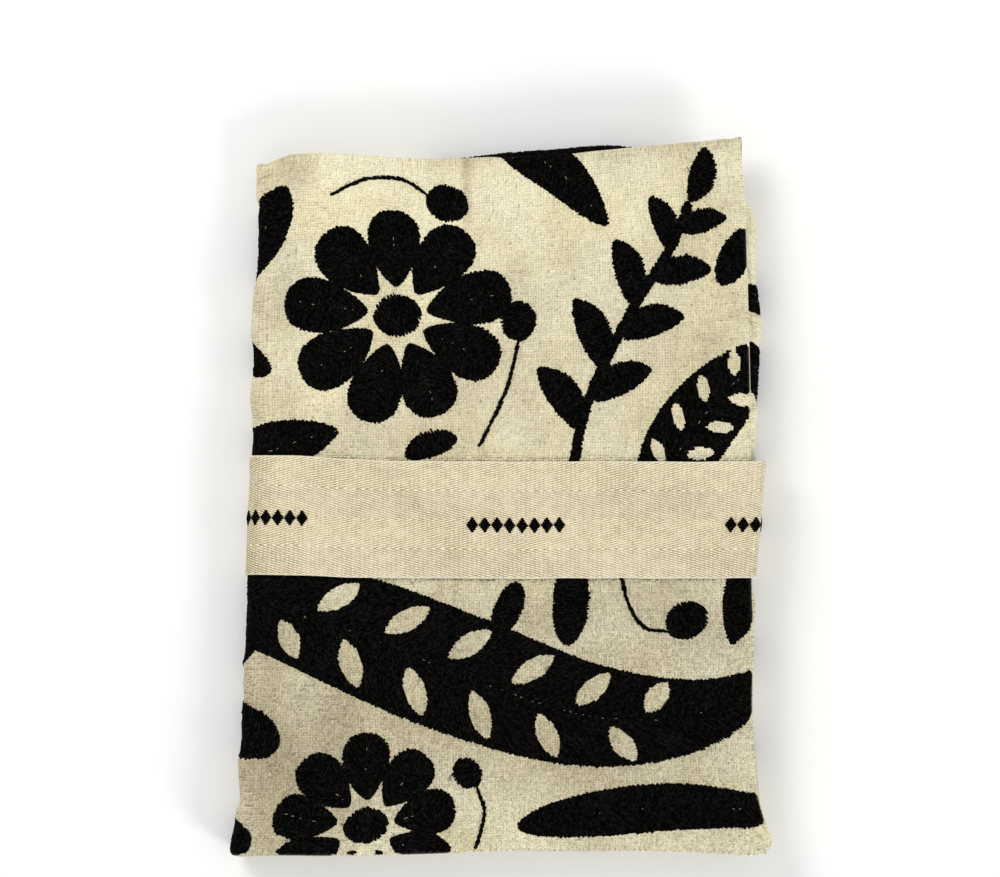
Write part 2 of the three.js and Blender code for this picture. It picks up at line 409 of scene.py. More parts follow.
@dataclass(frozen=True)
class Fold:
    """Carries the cloth's coordinates round the folds to where the cloth lies."""

    size: CoverSize = field(default_factory=CoverSize)
    band: BandSize = field(default_factory=BandSize)
    shift: Point = (0.0, 0.0)
    corner_pull: float = 1.2

    def front_height(self, x: Array) -> Array:
        """Height of the front ply's middle as it steps down towards the left fold."""
        size = self.size
        return size.front_z - size.step_drop * smooth(size.step_from, size.step_to, x)

    def ply(self, s: Array) -> tuple[Array, Array, Array, Array]:
        """The middle line of the folded plies: straight runs joined by two half turns.

        Args:
            s: distance along the cover from its free edge.

        Returns:
            x and z of the ply's middle and of the unit vector that points out of the packet there.
        """
        size = self.size
        s = np.asarray(s, float)
        front_x = size.free_edge - s
        slope = self.front_height(front_x + 0.5) - self.front_height(front_x - 0.5)
        run = np.hypot(1.0, slope)
        left = math.pi / 2 + (s - size.left_start) / size.left_radius
        right = -math.pi / 2 + (s - size.right_start) / size.right_radius
        stretch = np.digitize(s, size.turns)
        x = np.choose(
            stretch,
            [
                front_x,
                size.left_centre + size.left_radius * np.cos(left),
                size.left_centre + (s - size.low_start),
                size.right_centre + size.right_radius * np.cos(right),
                size.right_centre - (s - size.tucked_start),
            ],
        )
        z = np.choose(
            stretch,
            [
                self.front_height(front_x),
                size.low_z + size.left_radius * (1.0 + np.sin(left)),
                size.low_z,
                size.low_z + size.right_radius * (1.0 + np.sin(right)),
                size.tucked_z,
            ],
        )
        out_x = np.choose(stretch, [-slope / run, np.cos(left), 0.0, np.cos(right), 0.0])
        out_z = np.choose(stretch, [1.0 / run, np.sin(left), -1.0, np.sin(right), 1.0])
        return x, z, out_x, out_z

    def settle_height(self, x: Array, y: Array, z: Array) -> Array:
        """Height once the band has drawn the packet together and the swells have lifted it.

        Above the surface the height is squeezed where the band holds and raised by the round hills
        elsewhere, in proportion to how high the point is; all of it is lifted by the tape under it.

        Args:
            x: distance across the even packet.
            y: distance up it.
            z: height.

        Returns:
            The new height.
        """
        band = self.band
        hold = band.hold(y)
        lift = band.one_layer * hold * (1.0 + band.lap(x))
        rise = (1.0 - hold) * bells(HILLS, x, y) * (z / self.size.top_face)
        return np.where(z <= 0.0, z, z * (1.0 - band.squeeze * hold) + rise) + lift

    def left_shift(self, x: Array, y: Array) -> Array:
        """How far the left fold moves across from the even packet's edge."""
        return (read_rows(EDGES, "left", y) - self.size.left_edge) * smooth(-20, -84, x)

    def settle(self, x: Array, y: Array, z: Array) -> Array:
        """Moves points of the even packet to where the cloth really lies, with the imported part's shift.

        Args:
            x: distance across the even packet.
            y: distance up it.
            z: height.

        Returns:
            The points, with x, y and z along the last axis.
        """
        size = self.size
        front = smooth(size.tucked_z + size.ply_half, size.front_z - size.ply_half, z)
        fold = read_rows(EDGES, "fold", y) - size.right_fold
        free = read_rows(EDGES, "free", y) - size.free_edge
        low_ridge = read_rows(ENDS, "low_ridge", x)
        ridge = low_ridge + (read_rows(ENDS, "ridge", x) - low_ridge) * front - size.ridge_y
        low_hem = read_rows(ENDS, "low_hem", x)
        hem = low_hem + (read_rows(ENDS, "hem", x) - low_hem) * front - size.hem_y
        right_shift = (fold + (free - fold) * front) * smooth(20, 84, x)
        moved_y = y + ridge * smooth(30, 118, y) + hem * smooth(-70, -120, y)
        pull = self.corner_pull * smooth(119.6, 122.3, y)
        left_pull = pull * smooth(-86.6, -89.3, x)
        right_pull = pull * smooth(85.0, 87.6, x) * front
        return np.stack(
            [
                x + self.left_shift(x, y) + right_shift + right_pull - left_pull + self.shift[0],
                moved_y + left_pull + right_pull + self.shift[1],
                self.settle_height(x, y, z),
            ],
            axis=-1,
        )

    def place(self, s: Array, v: Array, out: Array) -> Array:
        """Where a point of the cloth lies.

        Up the outer leg the point is out from the ply's middle, round the ridge it turns about the
        ridge's centre, and down the inner leg it is the same distance on the other side.

        Args:
            s: distance along the cover from its free edge.
            v: distance from the hem, over the ridge and down the inner leg.
            out: distance from the ply's middle.

        Returns:
            The points, with x, y and z along the last axis.
        """
        size = self.size
        x, z, out_x, out_z = self.ply(s)
        turn = np.clip((v - size.leg) / size.ridge_radius, 0.0, math.pi)
        down = np.maximum(v - size.leg - size.ridge_turn, 0.0)
        y = size.hem_y + np.minimum(v, size.leg) - down + out * np.sin(turn)
        across = out * np.cos(turn)
        return self.settle(x + across * out_x, y, z + across * out_z)


# The drawing of the embroidery, as flat shapes on the cloth


class Face(Enum):
    """The face of the packet that a shape is drawn on, seen from outside it."""

    FRONT = "front"
    UNDER = "under"
    TUCKED = "tucked"

    def to_cloth(self, points: Array, size: CoverSize) -> Array:
        """Turns x and y on this face into the cloth's s and v.

        Args:
            points: x and y along the last axis.
            size: the cover's sizes.

        Returns:
            s and v along the last axis.
        """
        x = points[..., 0]
        v = points[..., 1] - size.hem_y
        starts = {
            Face.FRONT: size.free_edge - x,
            Face.UNDER: size.low_start + x - size.left_centre,
            Face.TUCKED: size.tucked_start + size.right_centre - x,
        }
        return np.stack([starts[self], v], axis=-1)


class Profile(Enum):
    """How a shape's width grows and falls: t to the first power times 1 − t to the second."""

    LENS = (0.80, 0.80)
    OVAL = (0.50, 0.50)
    DROP = (1.10, 0.50)
    PETAL = (0.80, 0.42)
    SWEEP = (0.52, 0.72)
    RIBBON = (0.0, 0.0)

    def half(self, t: Array, width: float, length: float) -> Array:
        """Half the width at each share of the way along, at its widest equal to half of width.

        Args:
            t: share of the way along the axis.
            width: full width at the widest place.
            length: length of the axis, which a ribbon's round ends need.

        Returns:
            The half width.
        """
        rise, fall = self.value
        if self is Profile.RIBBON:
            end = np.clip(np.minimum(t, 1.0 - t) * length / (width / 2), 0.0, 1.0)
            return width / 2 * np.sqrt(end * (2.0 - end))
        peak = rise / (rise + fall)
        highest = peak**rise * (1.0 - peak) ** fall
        return width / 2 * np.clip(t, 0, 1) ** rise * np.clip(1.0 - t, 0, 1) ** fall / highest


class Fill(Enum):
    """How a shape's stitches lie."""

    ACROSS = "across"
    VEINED = "veined"
    STEM = "stem"


def smooth_curve(points: Array, count: int) -> Array:
    """A curve of cubic pieces through a few points, with its samples spaced evenly by length.

    Args:
        points: the points that the curve passes through.
        count: how many samples to return.

    Returns:
        The samples.
    """
    points = np.asarray(points, float)
    ends = np.concatenate([[2 * points[0] - points[1]], points, [2 * points[-1] - points[-2]]])
    u = np.linspace(0.0, len(points) - 1.0, 16 * len(points) + 1)
    i = np.minimum(u.astype(int), len(points) - 2)
    t = (u - i)[:, None]
    p0, p1, p2, p3 = ends[i], ends[i + 1], ends[i + 2], ends[i + 3]
    fine = 0.5 * (
        2 * p1
        + (p2 - p0) * t
        + (2 * p0 - 5 * p1 + 4 * p2 - p3) * t**2
        + (3 * p1 - p0 - 3 * p2 + p3) * t**3
    )
    length = distances(fine)
    return read_line(np.linspace(0.0, length[-1], count), length, fine)


@dataclass(frozen=True)
class Shape:
    """A closed flat shape: an axis through a few points and a width that follows a profile."""

    axis: tuple[Point, ...]
    width: float
    profile: Profile = Profile.LENS
    face: Face = Face.FRONT

    def spine(self, size: CoverSize, count: int = 160) -> tuple[Array, Array, float]:
        """The axis on the cloth.

        Args:
            size: the cover's sizes.
            count: how many samples to take.

        Returns:
            The axis's points, its unit normals and its length.
        """
        line = smooth_curve(self.face.to_cloth(np.array(self.axis, float), size), count)
        return line, normals(line), float(np.linalg.norm(np.diff(line, axis=0), axis=1).sum())

    def outline(self, size: CoverSize, count: int = 56) -> Array:
        """The shape's outline on the cloth, up one side of its axis and back down the other.

        Args:
            size: the cover's sizes.
            count: how many points there are on each side.

        Returns:
            The outline's corners, with s and v along the last axis.
        """
        line, normal, length = self.spine(size, count)
        share = 0.5 - 0.5 * np.cos(np.linspace(0.0, math.pi, count))
        even = np.linspace(0.0, 1.0, count)
        at = read_line(share, even, line)
        out = read_line(share, even, normal) * self.profile.half(share, self.width, length)[:, None]
        return np.concatenate([at + out, (at - out)[::-1]])


def inside(points: Array, outline: Array) -> Array:
    """Whether points lie in an outline: a ray along s crosses its edges an odd number of times.

    Args:
        points: the points, with s and v along the last axis.
        outline: the corners of the outline.

    Returns:
        True for each point inside.
    """
    flat = points.reshape(-1, 2)
    low, high = outline.min(0), outline.max(0)
    near = np.nonzero(np.all((flat > low) & (flat < high), axis=1))[0]
    found = np.zeros(len(flat), bool)
    if len(near):
        s, v = flat[near, 0][:, None], flat[near, 1][:, None]
        a, b = outline, np.roll(outline, -1, axis=0)
        rise = np.where(np.abs(b[:, 1] - a[:, 1]) < 1e-9, 1e-9, b[:, 1] - a[:, 1])
        crosses = (a[:, 1] > v) != (b[:, 1] > v)
        ahead = s < a[:, 0] + (v - a[:, 1]) * (b[:, 0] - a[:, 0]) / rise
        found[near] = (crosses & ahead).sum(1) % 2 == 1
    return found.reshape(points.shape[:-1])


@dataclass(frozen=True)
class Motif:
    """One stitched shape, the way its stitches lie and the bare places left in it."""

    shape: Shape
    fill: Fill = Fill.ACROSS
    slant: float = 0.30
    windows: tuple[Shape, ...] = ()

    def on(self, face: Face) -> "Motif":
        """The same shape and windows drawn on another face."""
        windows = tuple(replace(window, face=face) for window in self.windows)
        return replace(self, shape=replace(self.shape, face=face), windows=windows)


def polar(centre: Point, reach: float, angle: float) -> Point:
    """The point at a distance from another, in a direction in radians."""
    return centre[0] + reach * math.cos(angle), centre[1] + reach * math.sin(angle)


def leaf(
    start: Point,
    end: Point,
    width: float,
    bend: float = 0.0,
    profile: Profile = Profile.LENS,
    fill: Fill = Fill.ACROSS,
) -> Motif:
    """A leaf, petal or seed between two points, bowed sideways by bend.

    Args:
        start: where it springs from.
        end: its tip.
        width: its widest place.
        bend: how far its middle stands to the left of the straight line.
        profile: how its width grows and falls.
        fill: how its stitches lie.

    Returns:
        The motif.
    """
    run = (end[0] - start[0], end[1] - start[1])
    length = math.hypot(*run)
    middle = (
        (start[0] + end[0]) / 2 - run[1] / length * bend,
        (start[1] + end[1]) / 2 + run[0] / length * bend,
    )
    return Motif(Shape((start, middle, end), width, profile), fill)


def rosette(
    centre: Point,
    petals: int,
    inner: float,
    outer: float,
    width: float,
    turn: float = 0.0,
) -> list[Motif]:
    """A round flower: a disc and a ring of petals with round tips.

    Args:
        centre: the middle of the flower.
        petals: how many petals there are.
        inner: distance of their feet from the middle.
        outer: distance of their tips.
        width: their widest place.
        turn: angle of the first petal, in degrees.

    Returns:
        The motifs.
    """
    found = []
    for k in range(petals):
        angle = math.radians(turn) + 2 * math.pi * k / petals
        reach = outer * (1.0 + 0.035 * math.sin(5.0 * k + 1.0))
        foot, tip = polar(centre, inner, angle), polar(centre, reach, angle)
        found.append(leaf(foot, tip, width, 0.8, Profile.PETAL, Fill.VEINED))
    disc = inner - 2.6
    across = ((centre[0] - disc, centre[1]), (centre[0] + disc, centre[1] + 0.4))
    return [*found, Motif(Shape(across, 1.86 * disc, Profile.OVAL))]


def sprig(
    stem: tuple[Point, ...],
    leaves: Sequence[tuple[float, float, float, float]],
    thick: float,
) -> list[Motif]:
    """A stem with leaves.

    Args:
        stem: the points that the stem runs through.
        leaves: for each leaf its place along the stem, its length, its width and its angle from the
            stem's direction in degrees, to the left where it is positive.
        thick: width of the stem.

    Returns:
        The motifs, the stem first, so that the leaves are stitched up to it.
    """
    line = smooth_curve(np.array(stem, float), 101)
    heading = np.gradient(line, axis=0)
    found = []
    for place, length, width, angle in leaves:
        i = int(round(place * 100))
        foot = (line[i, 0], line[i, 1])
        way = math.atan2(heading[i, 1], heading[i, 0]) + math.radians(angle)
        found.append(leaf(foot, polar(foot, length, way), width, math.copysign(0.09 * length, -angle)))
    return [Motif(Shape(stem, thick, Profile.RIBBON), slant=0.5), *found]


def veined_leaf(axis: tuple[Point, ...], width: float, pairs: int, slot: tuple[float, float]) -> Motif:
    """A broad leaf with slots of bare cloth along both sides of its midrib.

    Args:
        axis: the points that the midrib runs through.
        width: the leaf's widest place.
        pairs: how many slots there are on each side.
        slot: length and width of the longest slots.

    Returns:
        The motif.
    """
    line = smooth_curve(np.array(axis, float), 201)
    heading = np.gradient(line, axis=0)
    windows = []
    for k in range(pairs):
        for side in (-1.0, 1.0):
            place = 0.17 + (0.66 * (k + 0.25 + 0.25 * side)) / pairs
            i = int(round(place * 200))
            room = float(Profile.SWEEP.half(np.array(place), width, 1.0))
            way = math.atan2(heading[i, 1], heading[i, 0])
            out = (-math.sin(way) * side, math.cos(way) * side)
            lean = way + side * math.radians(52.0)
            middle = (line[i, 0] + out[0] * room * 0.52, line[i, 1] + out[1] * room * 0.52)
            reach = min(slot[0], room * 0.88) / 2
            windows.append(Shape((polar(middle, -reach, lean), polar(middle, reach, lean)), slot[1]))
    return Motif(Shape(axis, width, Profile.SWEEP), Fill.VEINED, 0.5, tuple(windows))


def tendril(points: tuple[Point, ...], berry: Point, turn: float) -> list[Motif]:
    """A thin curling line with a berry at its end.

    Args:
        points: the points that the line runs through, the last of them on the berry's rim.
        berry: length and width of the berry.
        turn: the berry's direction from there, in degrees.

    Returns:
        The motifs.
    """
    tip = polar(points[-1], berry[0], math.radians(turn))
    fruit = leaf(points[-1], tip, berry[1], 0.6, Profile.OVAL)
    return [fruit, Motif(Shape(points, 0.9, Profile.RIBBON), Fill.STEM)]


def drawing() -> list[Motif]:
    """The whole pattern: flowers, veined leaves, sprigs and berries.

    Returns:
        The motifs, in the order they are stitched.
    """
    front = [
        *rosette((-37, 65), 9, 11, 40, 19.5, 12),
        *sprig(
            ((24, 2), (30, 32), (44, 62), (60, 86), (68, 102)),
            (
                (0.20, 27, 12, 46),
                (0.30, 25, 11.4, -44),
                (0.41, 27, 12, 46),
                (0.52, 25, 11, -46),
                (0.63, 25, 11, 48),
                (0.73, 22, 9.8, -48),
                (0.84, 20, 9, 50),
                (0.90, 18, 8.4, -52),
                (1, 20, 10, 4),
            ),
            3.6,
        ),
        veined_leaf(((52, -4), (66, 22), (84, 42), (102, 54)), 27, 4, (10, 4.6)),
        leaf((-108, 0), (-58, 24), 21, 4, Profile.SWEEP, Fill.VEINED),
        leaf((-112, 70), (-80, 112), 17, -5, Profile.DROP, Fill.VEINED),
        leaf((-2, 130), (38, 96), 16, 4, Profile.SWEEP, Fill.VEINED),
        *tendril(((-62, 108), (-50, 114), (-36, 115), (-26, 110)), (15, 13), -30),
        *tendril(((-8, 18), (0, 34), (4, 46), (6, 56)), (14, 12.5), 84),
        leaf((-34, 15), (-16, 21), 9.4, 1, Profile.OVAL),
        leaf((78, 74), (93, 92), 12, 1, Profile.OVAL),
        leaf((-84, 44), (-98, 60), 11, 1, Profile.OVAL),
        veined_leaf(
            ((-108, -34), (-62, -44), (-16, -62), (30, -77), (70, -76), (100, -60)), 43, 6, (18, 7.6)
        ),
        *rosette((-46, -115), 9, 9.4, 31, 15.6, 90),
        leaf((6, -117), (108, -110), 17, 4, Profile.SWEEP, Fill.VEINED),
        leaf((6, -30), (-2, -48), 10, 0.6, Profile.OVAL),
        leaf((25, -22), (23, -52), 13, 0.6, Profile.OVAL),
        *tendril(((41, -20), (44, -36), (50, -46), (58, -47)), (15, 13), 24),
        leaf((84, -20), (80, -52), 13, 2),
        leaf((-104, -78), (-76, -88), 18, 1, Profile.OVAL),
        leaf((-104, -112), (-84, -124), 14, 1, Profile.DROP),
        *tendril(((-11, -130), (-6, -112), (-9, -102)), (11, 10), 118),
    ]
    under = [
        *rosette((28, 66), 10, 10.5, 38, 16, 4),
        *sprig(
            ((-62, 2), (-54, 34), (-40, 66), (-34, 98)),
            (
                (0.24, 26, 11.6, 44),
                (0.34, 26, 11.6, -46),
                (0.52, 24, 11, 46),
                (0.64, 23, 10.4, -46),
                (0.80, 20, 9.2, 46),
                (0.90, 19, 8.8, -48),
                (1, 20, 10, -6),
            ),
            3.6,
        ),
        veined_leaf(((-96, -46), (-50, -64), (0, -78), (46, -72), (98, -50)), 46, 6, (17, 7)),
        *rosette((52, -115), 9, 9.4, 29, 15, 90),
        leaf((70, 22), (104, 62), 19, 2, Profile.SWEEP, Fill.VEINED),
        leaf((74, 98), (104, 74), 14, -2, Profile.SWEEP, Fill.VEINED),
        leaf((-80, 84), (-66, 104), 13, 1, Profile.OVAL),
        leaf((-84, -114), (4, -118), 17, -3, Profile.SWEEP, Fill.VEINED),
        leaf((-8, -30), (-12, -54), 12, 1, Profile.OVAL),
        leaf((10, -32), (8, -50), 10, 1, Profile.OVAL),
        leaf((84, -84), (101, -100), 12, 1, Profile.OVAL),
        Motif(Shape(((-24, 124.5), (16, 124.5), (60, 124)), 15, Profile.SWEEP)),
    ]
    tucked = Motif(Shape(((-30, 124.5), (14, 125), (62, 124.5)), 16, Profile.SWEEP))
    return [*front, *(motif.on(Face.UNDER) for motif in under), tucked.on(Face.TUCKED)]


# Stitches


@dataclass
class Stitches:
    """Many stitches as arrays: the two ends of each on the cloth, its width and its height."""

    start: Array
    end: Array
    width: Array
    height: Array

    @staticmethod
    def joined(parts: Sequence["Stitches"]) -> "Stitches":
        """All the stitches of several sets as one set."""
        names = ("start", "end", "width", "height")
        return Stitches(*(np.concatenate([getattr(p, n) for p in parts]) for n in names))

    @staticmethod
    def alike(ends: Array, width: float, height: float) -> "Stitches":
        """Stitches of one width and height, from rows of two numbers for each end."""
        count = len(ends)
        return Stitches(ends[:, :2], ends[:, 2:], np.full(count, width), np.full(count, height))

    def picked(self, keep: Array) -> "Stitches":
        """Only the stitches where keep is true."""
        return Stitches(self.start[keep], self.end[keep], self.width[keep], self.height[keep])


@dataclass(frozen=True)
class Needle:
    """How the embroiderer works: spacing, longest stitch and unevenness of the hand."""

    size: CoverSize
    rng: np.random.Generator
    pitch: float = 0.78
    yarn: float = 0.94
    rise: float = 0.46
    longest: float = 7.5
    sample: float = 0.35
    shortest: float = 0.9
    stray: float = 0.14
    stagger: float = 0.10
    overlap: float = 0.7
    joint: float = 0.36
    stem_step: float = 1.9
    stem_reach: float = 3.5
    stem_lean: float = 0.30
    stem_stray: float = 0.13
    speck_step: float = 2.3
    speck_share: float = 0.30
    speck_stray: float = 0.16
    speck_height: float = 0.56
    fibre: tuple[float, float] = (0.16, 0.30)
    hem: float = 0.9
    far_hem: float = 6.0
    jiggle: float = 0.07

    def room(self, points: Array) -> Array:
        """Where there is cloth to sew: not on the hems, and not beyond the ridge."""
        ends = (self.size.side - self.far_hem, self.size.leg + self.size.ridge_turn)
        return np.all((points > self.hem) & (points < ends), axis=-1)

    def kept(self, found: Stitches, marks: Array, taken: Sequence[Array]) -> Stitches:
        """The stitches with room at both ends and with their marks outside every outline taken.

        Args:
            found: the stitches to choose from.
            marks: one point for each stitch.
            taken: outlines already stitched, or left bare.

        Returns:
            The stitches that are kept.
        """
        clear = self.room(found.start) & self.room(found.end)
        for outline in taken:
            clear &= ~inside(marks, outline)
        return found.picked(clear)

    def lines(self, motif: Motif) -> tuple[Array, Array]:
        """The straight lines that a shape's stitches follow.

        The lines' places are spaced evenly round the outline. Line k joins the outline's left side a
        little ahead of place k to its right side a little behind. On a veined shape it runs from each
        side back to the axis only, so that the two halves meet there in a row of points.

        Args:
            motif: the shape to fill.

        Returns:
            The two ends of each line.
        """
        shape = motif.shape
        line, normal, length = shape.spine(self.size)
        even = np.linspace(0.0, 1.0, len(line))
        share = 0.5 - 0.5 * np.cos(np.linspace(0.0, math.pi, 240))
        rim = np.hypot(np.diff(share) * length, np.diff(shape.profile.half(share, shape.width, length)))
        reach = np.concatenate([[0.0], np.cumsum(rim)])
        rows = max(3, int(reach[-1] / self.pitch))
        t = np.interp((np.arange(rows) + 0.5) / rows * reach[-1], reach, share)
        drift = np.interp(t, np.linspace(0, 1, 9), self.rng.uniform(0.65, 1.35, 9))
        lean = motif.slant * drift * shape.profile.half(t, shape.width, length) / length

        def side(places: Array, sign: float) -> Array:
            """A point of the outline at each place, on the side that sign says, or on the axis at 0.

            Args:
                places: shares of the way along the axis.
                sign: 1 on the left, −1 on the right.

            Returns:
                The points.
            """
            held = np.clip(places, 0.0, 1.0)
            half = sign * shape.profile.half(held, shape.width, length)
            return read_line(held, even, line) + read_line(held, even, normal) * half[:, None]

        if motif.fill is Fill.VEINED:
            middle = side(t - 2.0 * lean, 0.0)
            return np.concatenate([side(t, 1.0), side(t, -1.0)]), np.concatenate([middle, middle])
        return side(t + lean, 1.0), side(t - lean, -1.0)

    def hatch(self, motif: Motif, taken: Sequence[Array]) -> Stitches:
        """Fills a shape with stitches along its lines.

        Each line is sampled, and only its runs that are outside every window and every shape stitched
        before become stitches; a long run is split into several with staggered joints.

        Args:
            motif: the shape to fill.
            taken: outlines already stitched, or to be left bare.

        Returns:
            The stitches.
        """
        left, right = self.lines(motif)
        samples = max(5, int(motif.shape.width * 1.2 / self.sample))
        share = np.linspace(0.0, 1.0, samples)
        points = left[:, None] + (right - left)[:, None] * share[None, :, None]
        free = self.room(points)
        for outline in taken:
            free &= ~inside(points, outline)
        change = np.diff(np.pad(free, ((0, 0), (1, 1))).astype(np.int8), axis=1)
        row, first = np.nonzero(change == 1)
        last = np.nonzero(change == -1)[1] - 1
        span = np.maximum(np.linalg.norm(right - left, axis=1), 0.01)[row]
        keep = (last - first) * span / (samples - 1) > self.shortest
        row, low, high, span = row[keep], share[first[keep]], share[last[keep]], span[keep]
        count = len(row)
        stray = self.rng.normal(0.0, self.stray, (count, 2))
        stray += self.stagger * np.where(row % 2, 1.0, -1.0)[:, None]
        low = low + stray[:, 0] / span
        high = high - stray[:, 1] / span
        longest = self.longest * self.rng.uniform(0.7, 1.25, count)
        cuts = np.maximum(1, np.ceil((high - low) * span / longest)).astype(int)
        most = int(cuts.max()) if count else 1
        joint = np.arange(most + 1)[None] + self.rng.uniform(-self.joint, self.joint, (count, most + 1))
        joint[:, 0] = 0.0
        joint = np.where(np.arange(most + 1)[None] == cuts[:, None], cuts[:, None], joint) / cuts[:, None]
        run = np.repeat(np.arange(count), cuts)
        piece = np.arange(len(run)) - np.repeat(np.cumsum(cuts) - cuts, cuts)
        extra = self.overlap / 2 / span[run]
        from_share = low[run] + (high - low)[run] * joint[run, piece] - extra * (piece > 0)
        to_share = low[run] + (high - low)[run] * joint[run, piece + 1] + extra * (piece < cuts[run] - 1)
        foot, way = left[row[run]], (right - left)[row[run]]
        jiggle = self.rng.normal(0.0, self.jiggle, (2, len(run), 2))
        return Stitches(
            foot + way * from_share[:, None] + jiggle[0],
            foot + way * to_share[:, None] + jiggle[1],
            self.yarn * self.rng.uniform(0.86, 1.16, len(run)),
            self.rise * self.rng.uniform(0.62, 1.30, len(run)),
        )

    def stem(self, motif: Motif, taken: Sequence[Array]) -> Stitches:
        """A line of short overlapping stitches, each a little across the line, as in stem stitch.

        Args:
            motif: the line.
            taken: outlines already stitched.

        Returns:
            The stitches.
        """
        line, normal, length = motif.shape.spine(self.size)
        even = np.linspace(0.0, length, len(line))
        start = evenly(0.0, length - self.stem_reach / 2, self.stem_step)
        end = np.minimum(start + self.stem_reach * self.rng.uniform(0.9, 1.1, len(start)), length)

        def at(place: Array, out: float) -> Array:
            """Points beside the line, out to its left."""
            return read_line(place, even, line) + read_line(place, even, normal) * out

        count = len(start)
        stitches = Stitches(
            at(start, -self.stem_lean) + self.rng.normal(0, self.stem_stray, (count, 2)),
            at(end, self.stem_lean) + self.rng.normal(0, self.stem_stray, (count, 2)),
            self.rng.uniform(0.90, 1.30, count),
            self.rng.uniform(0.50, 0.72, count),
        )
        return self.kept(stitches, (stitches.start + stitches.end) / 2, taken)

    def specks(self, motif: Motif, taken: Sequence[Array]) -> Stitches:
        """Bits of bare cloth that show between the two halves of a veined shape, as a broken line.

        Args:
            motif: the shape.
            taken: outlines already stitched, or left bare.

        Returns:
            The bits, as short stitches.
        """
        line, _, length = motif.shape.spine(self.size)
        even = np.linspace(0.0, length, len(line))
        start = evenly(0.16 * length, 0.86 * length, self.speck_step)
        start = start[self.rng.uniform(size=len(start)) < self.speck_share] + self.rng.uniform(-0.7, 0.7)
        end = start + self.rng.uniform(0.5, 1.1, len(start))
        count = len(start)
        ends = [
            read_line(q, even, line) + self.rng.normal(0.0, self.speck_stray, (count, 2))
            for q in (start, end)
        ]
        width = self.rng.uniform(*self.fibre, count)
        found = Stitches(ends[0], ends[1], width, np.full(count, self.speck_height))
        return self.kept(found, found.start, taken)

    def loose(self, stitches: Stitches, count: int) -> Stitches:
        """Loose fibres that stand off the ends of a few stitches.

        Args:
            stitches: the stitches that they come from.
            count: how many to make.

        Returns:
            The fibres, as thin stitches.
        """
        chosen = self.rng.choice(len(stitches.width), count, replace=False)
        way = stitches.end[chosen] - stitches.start[chosen]
        angle = np.arctan2(way[:, 1], way[:, 0]) + self.rng.normal(0.0, 0.7, count)
        reach = self.rng.uniform(0.8, 2.4, count)[:, None]
        start = stitches.end[chosen]
        end = start + reach * np.stack([np.cos(angle), np.sin(angle)], axis=-1)
        return Stitches(start, end, self.rng.uniform(*self.fibre, count), self.rng.uniform(0.5, 0.9, count))


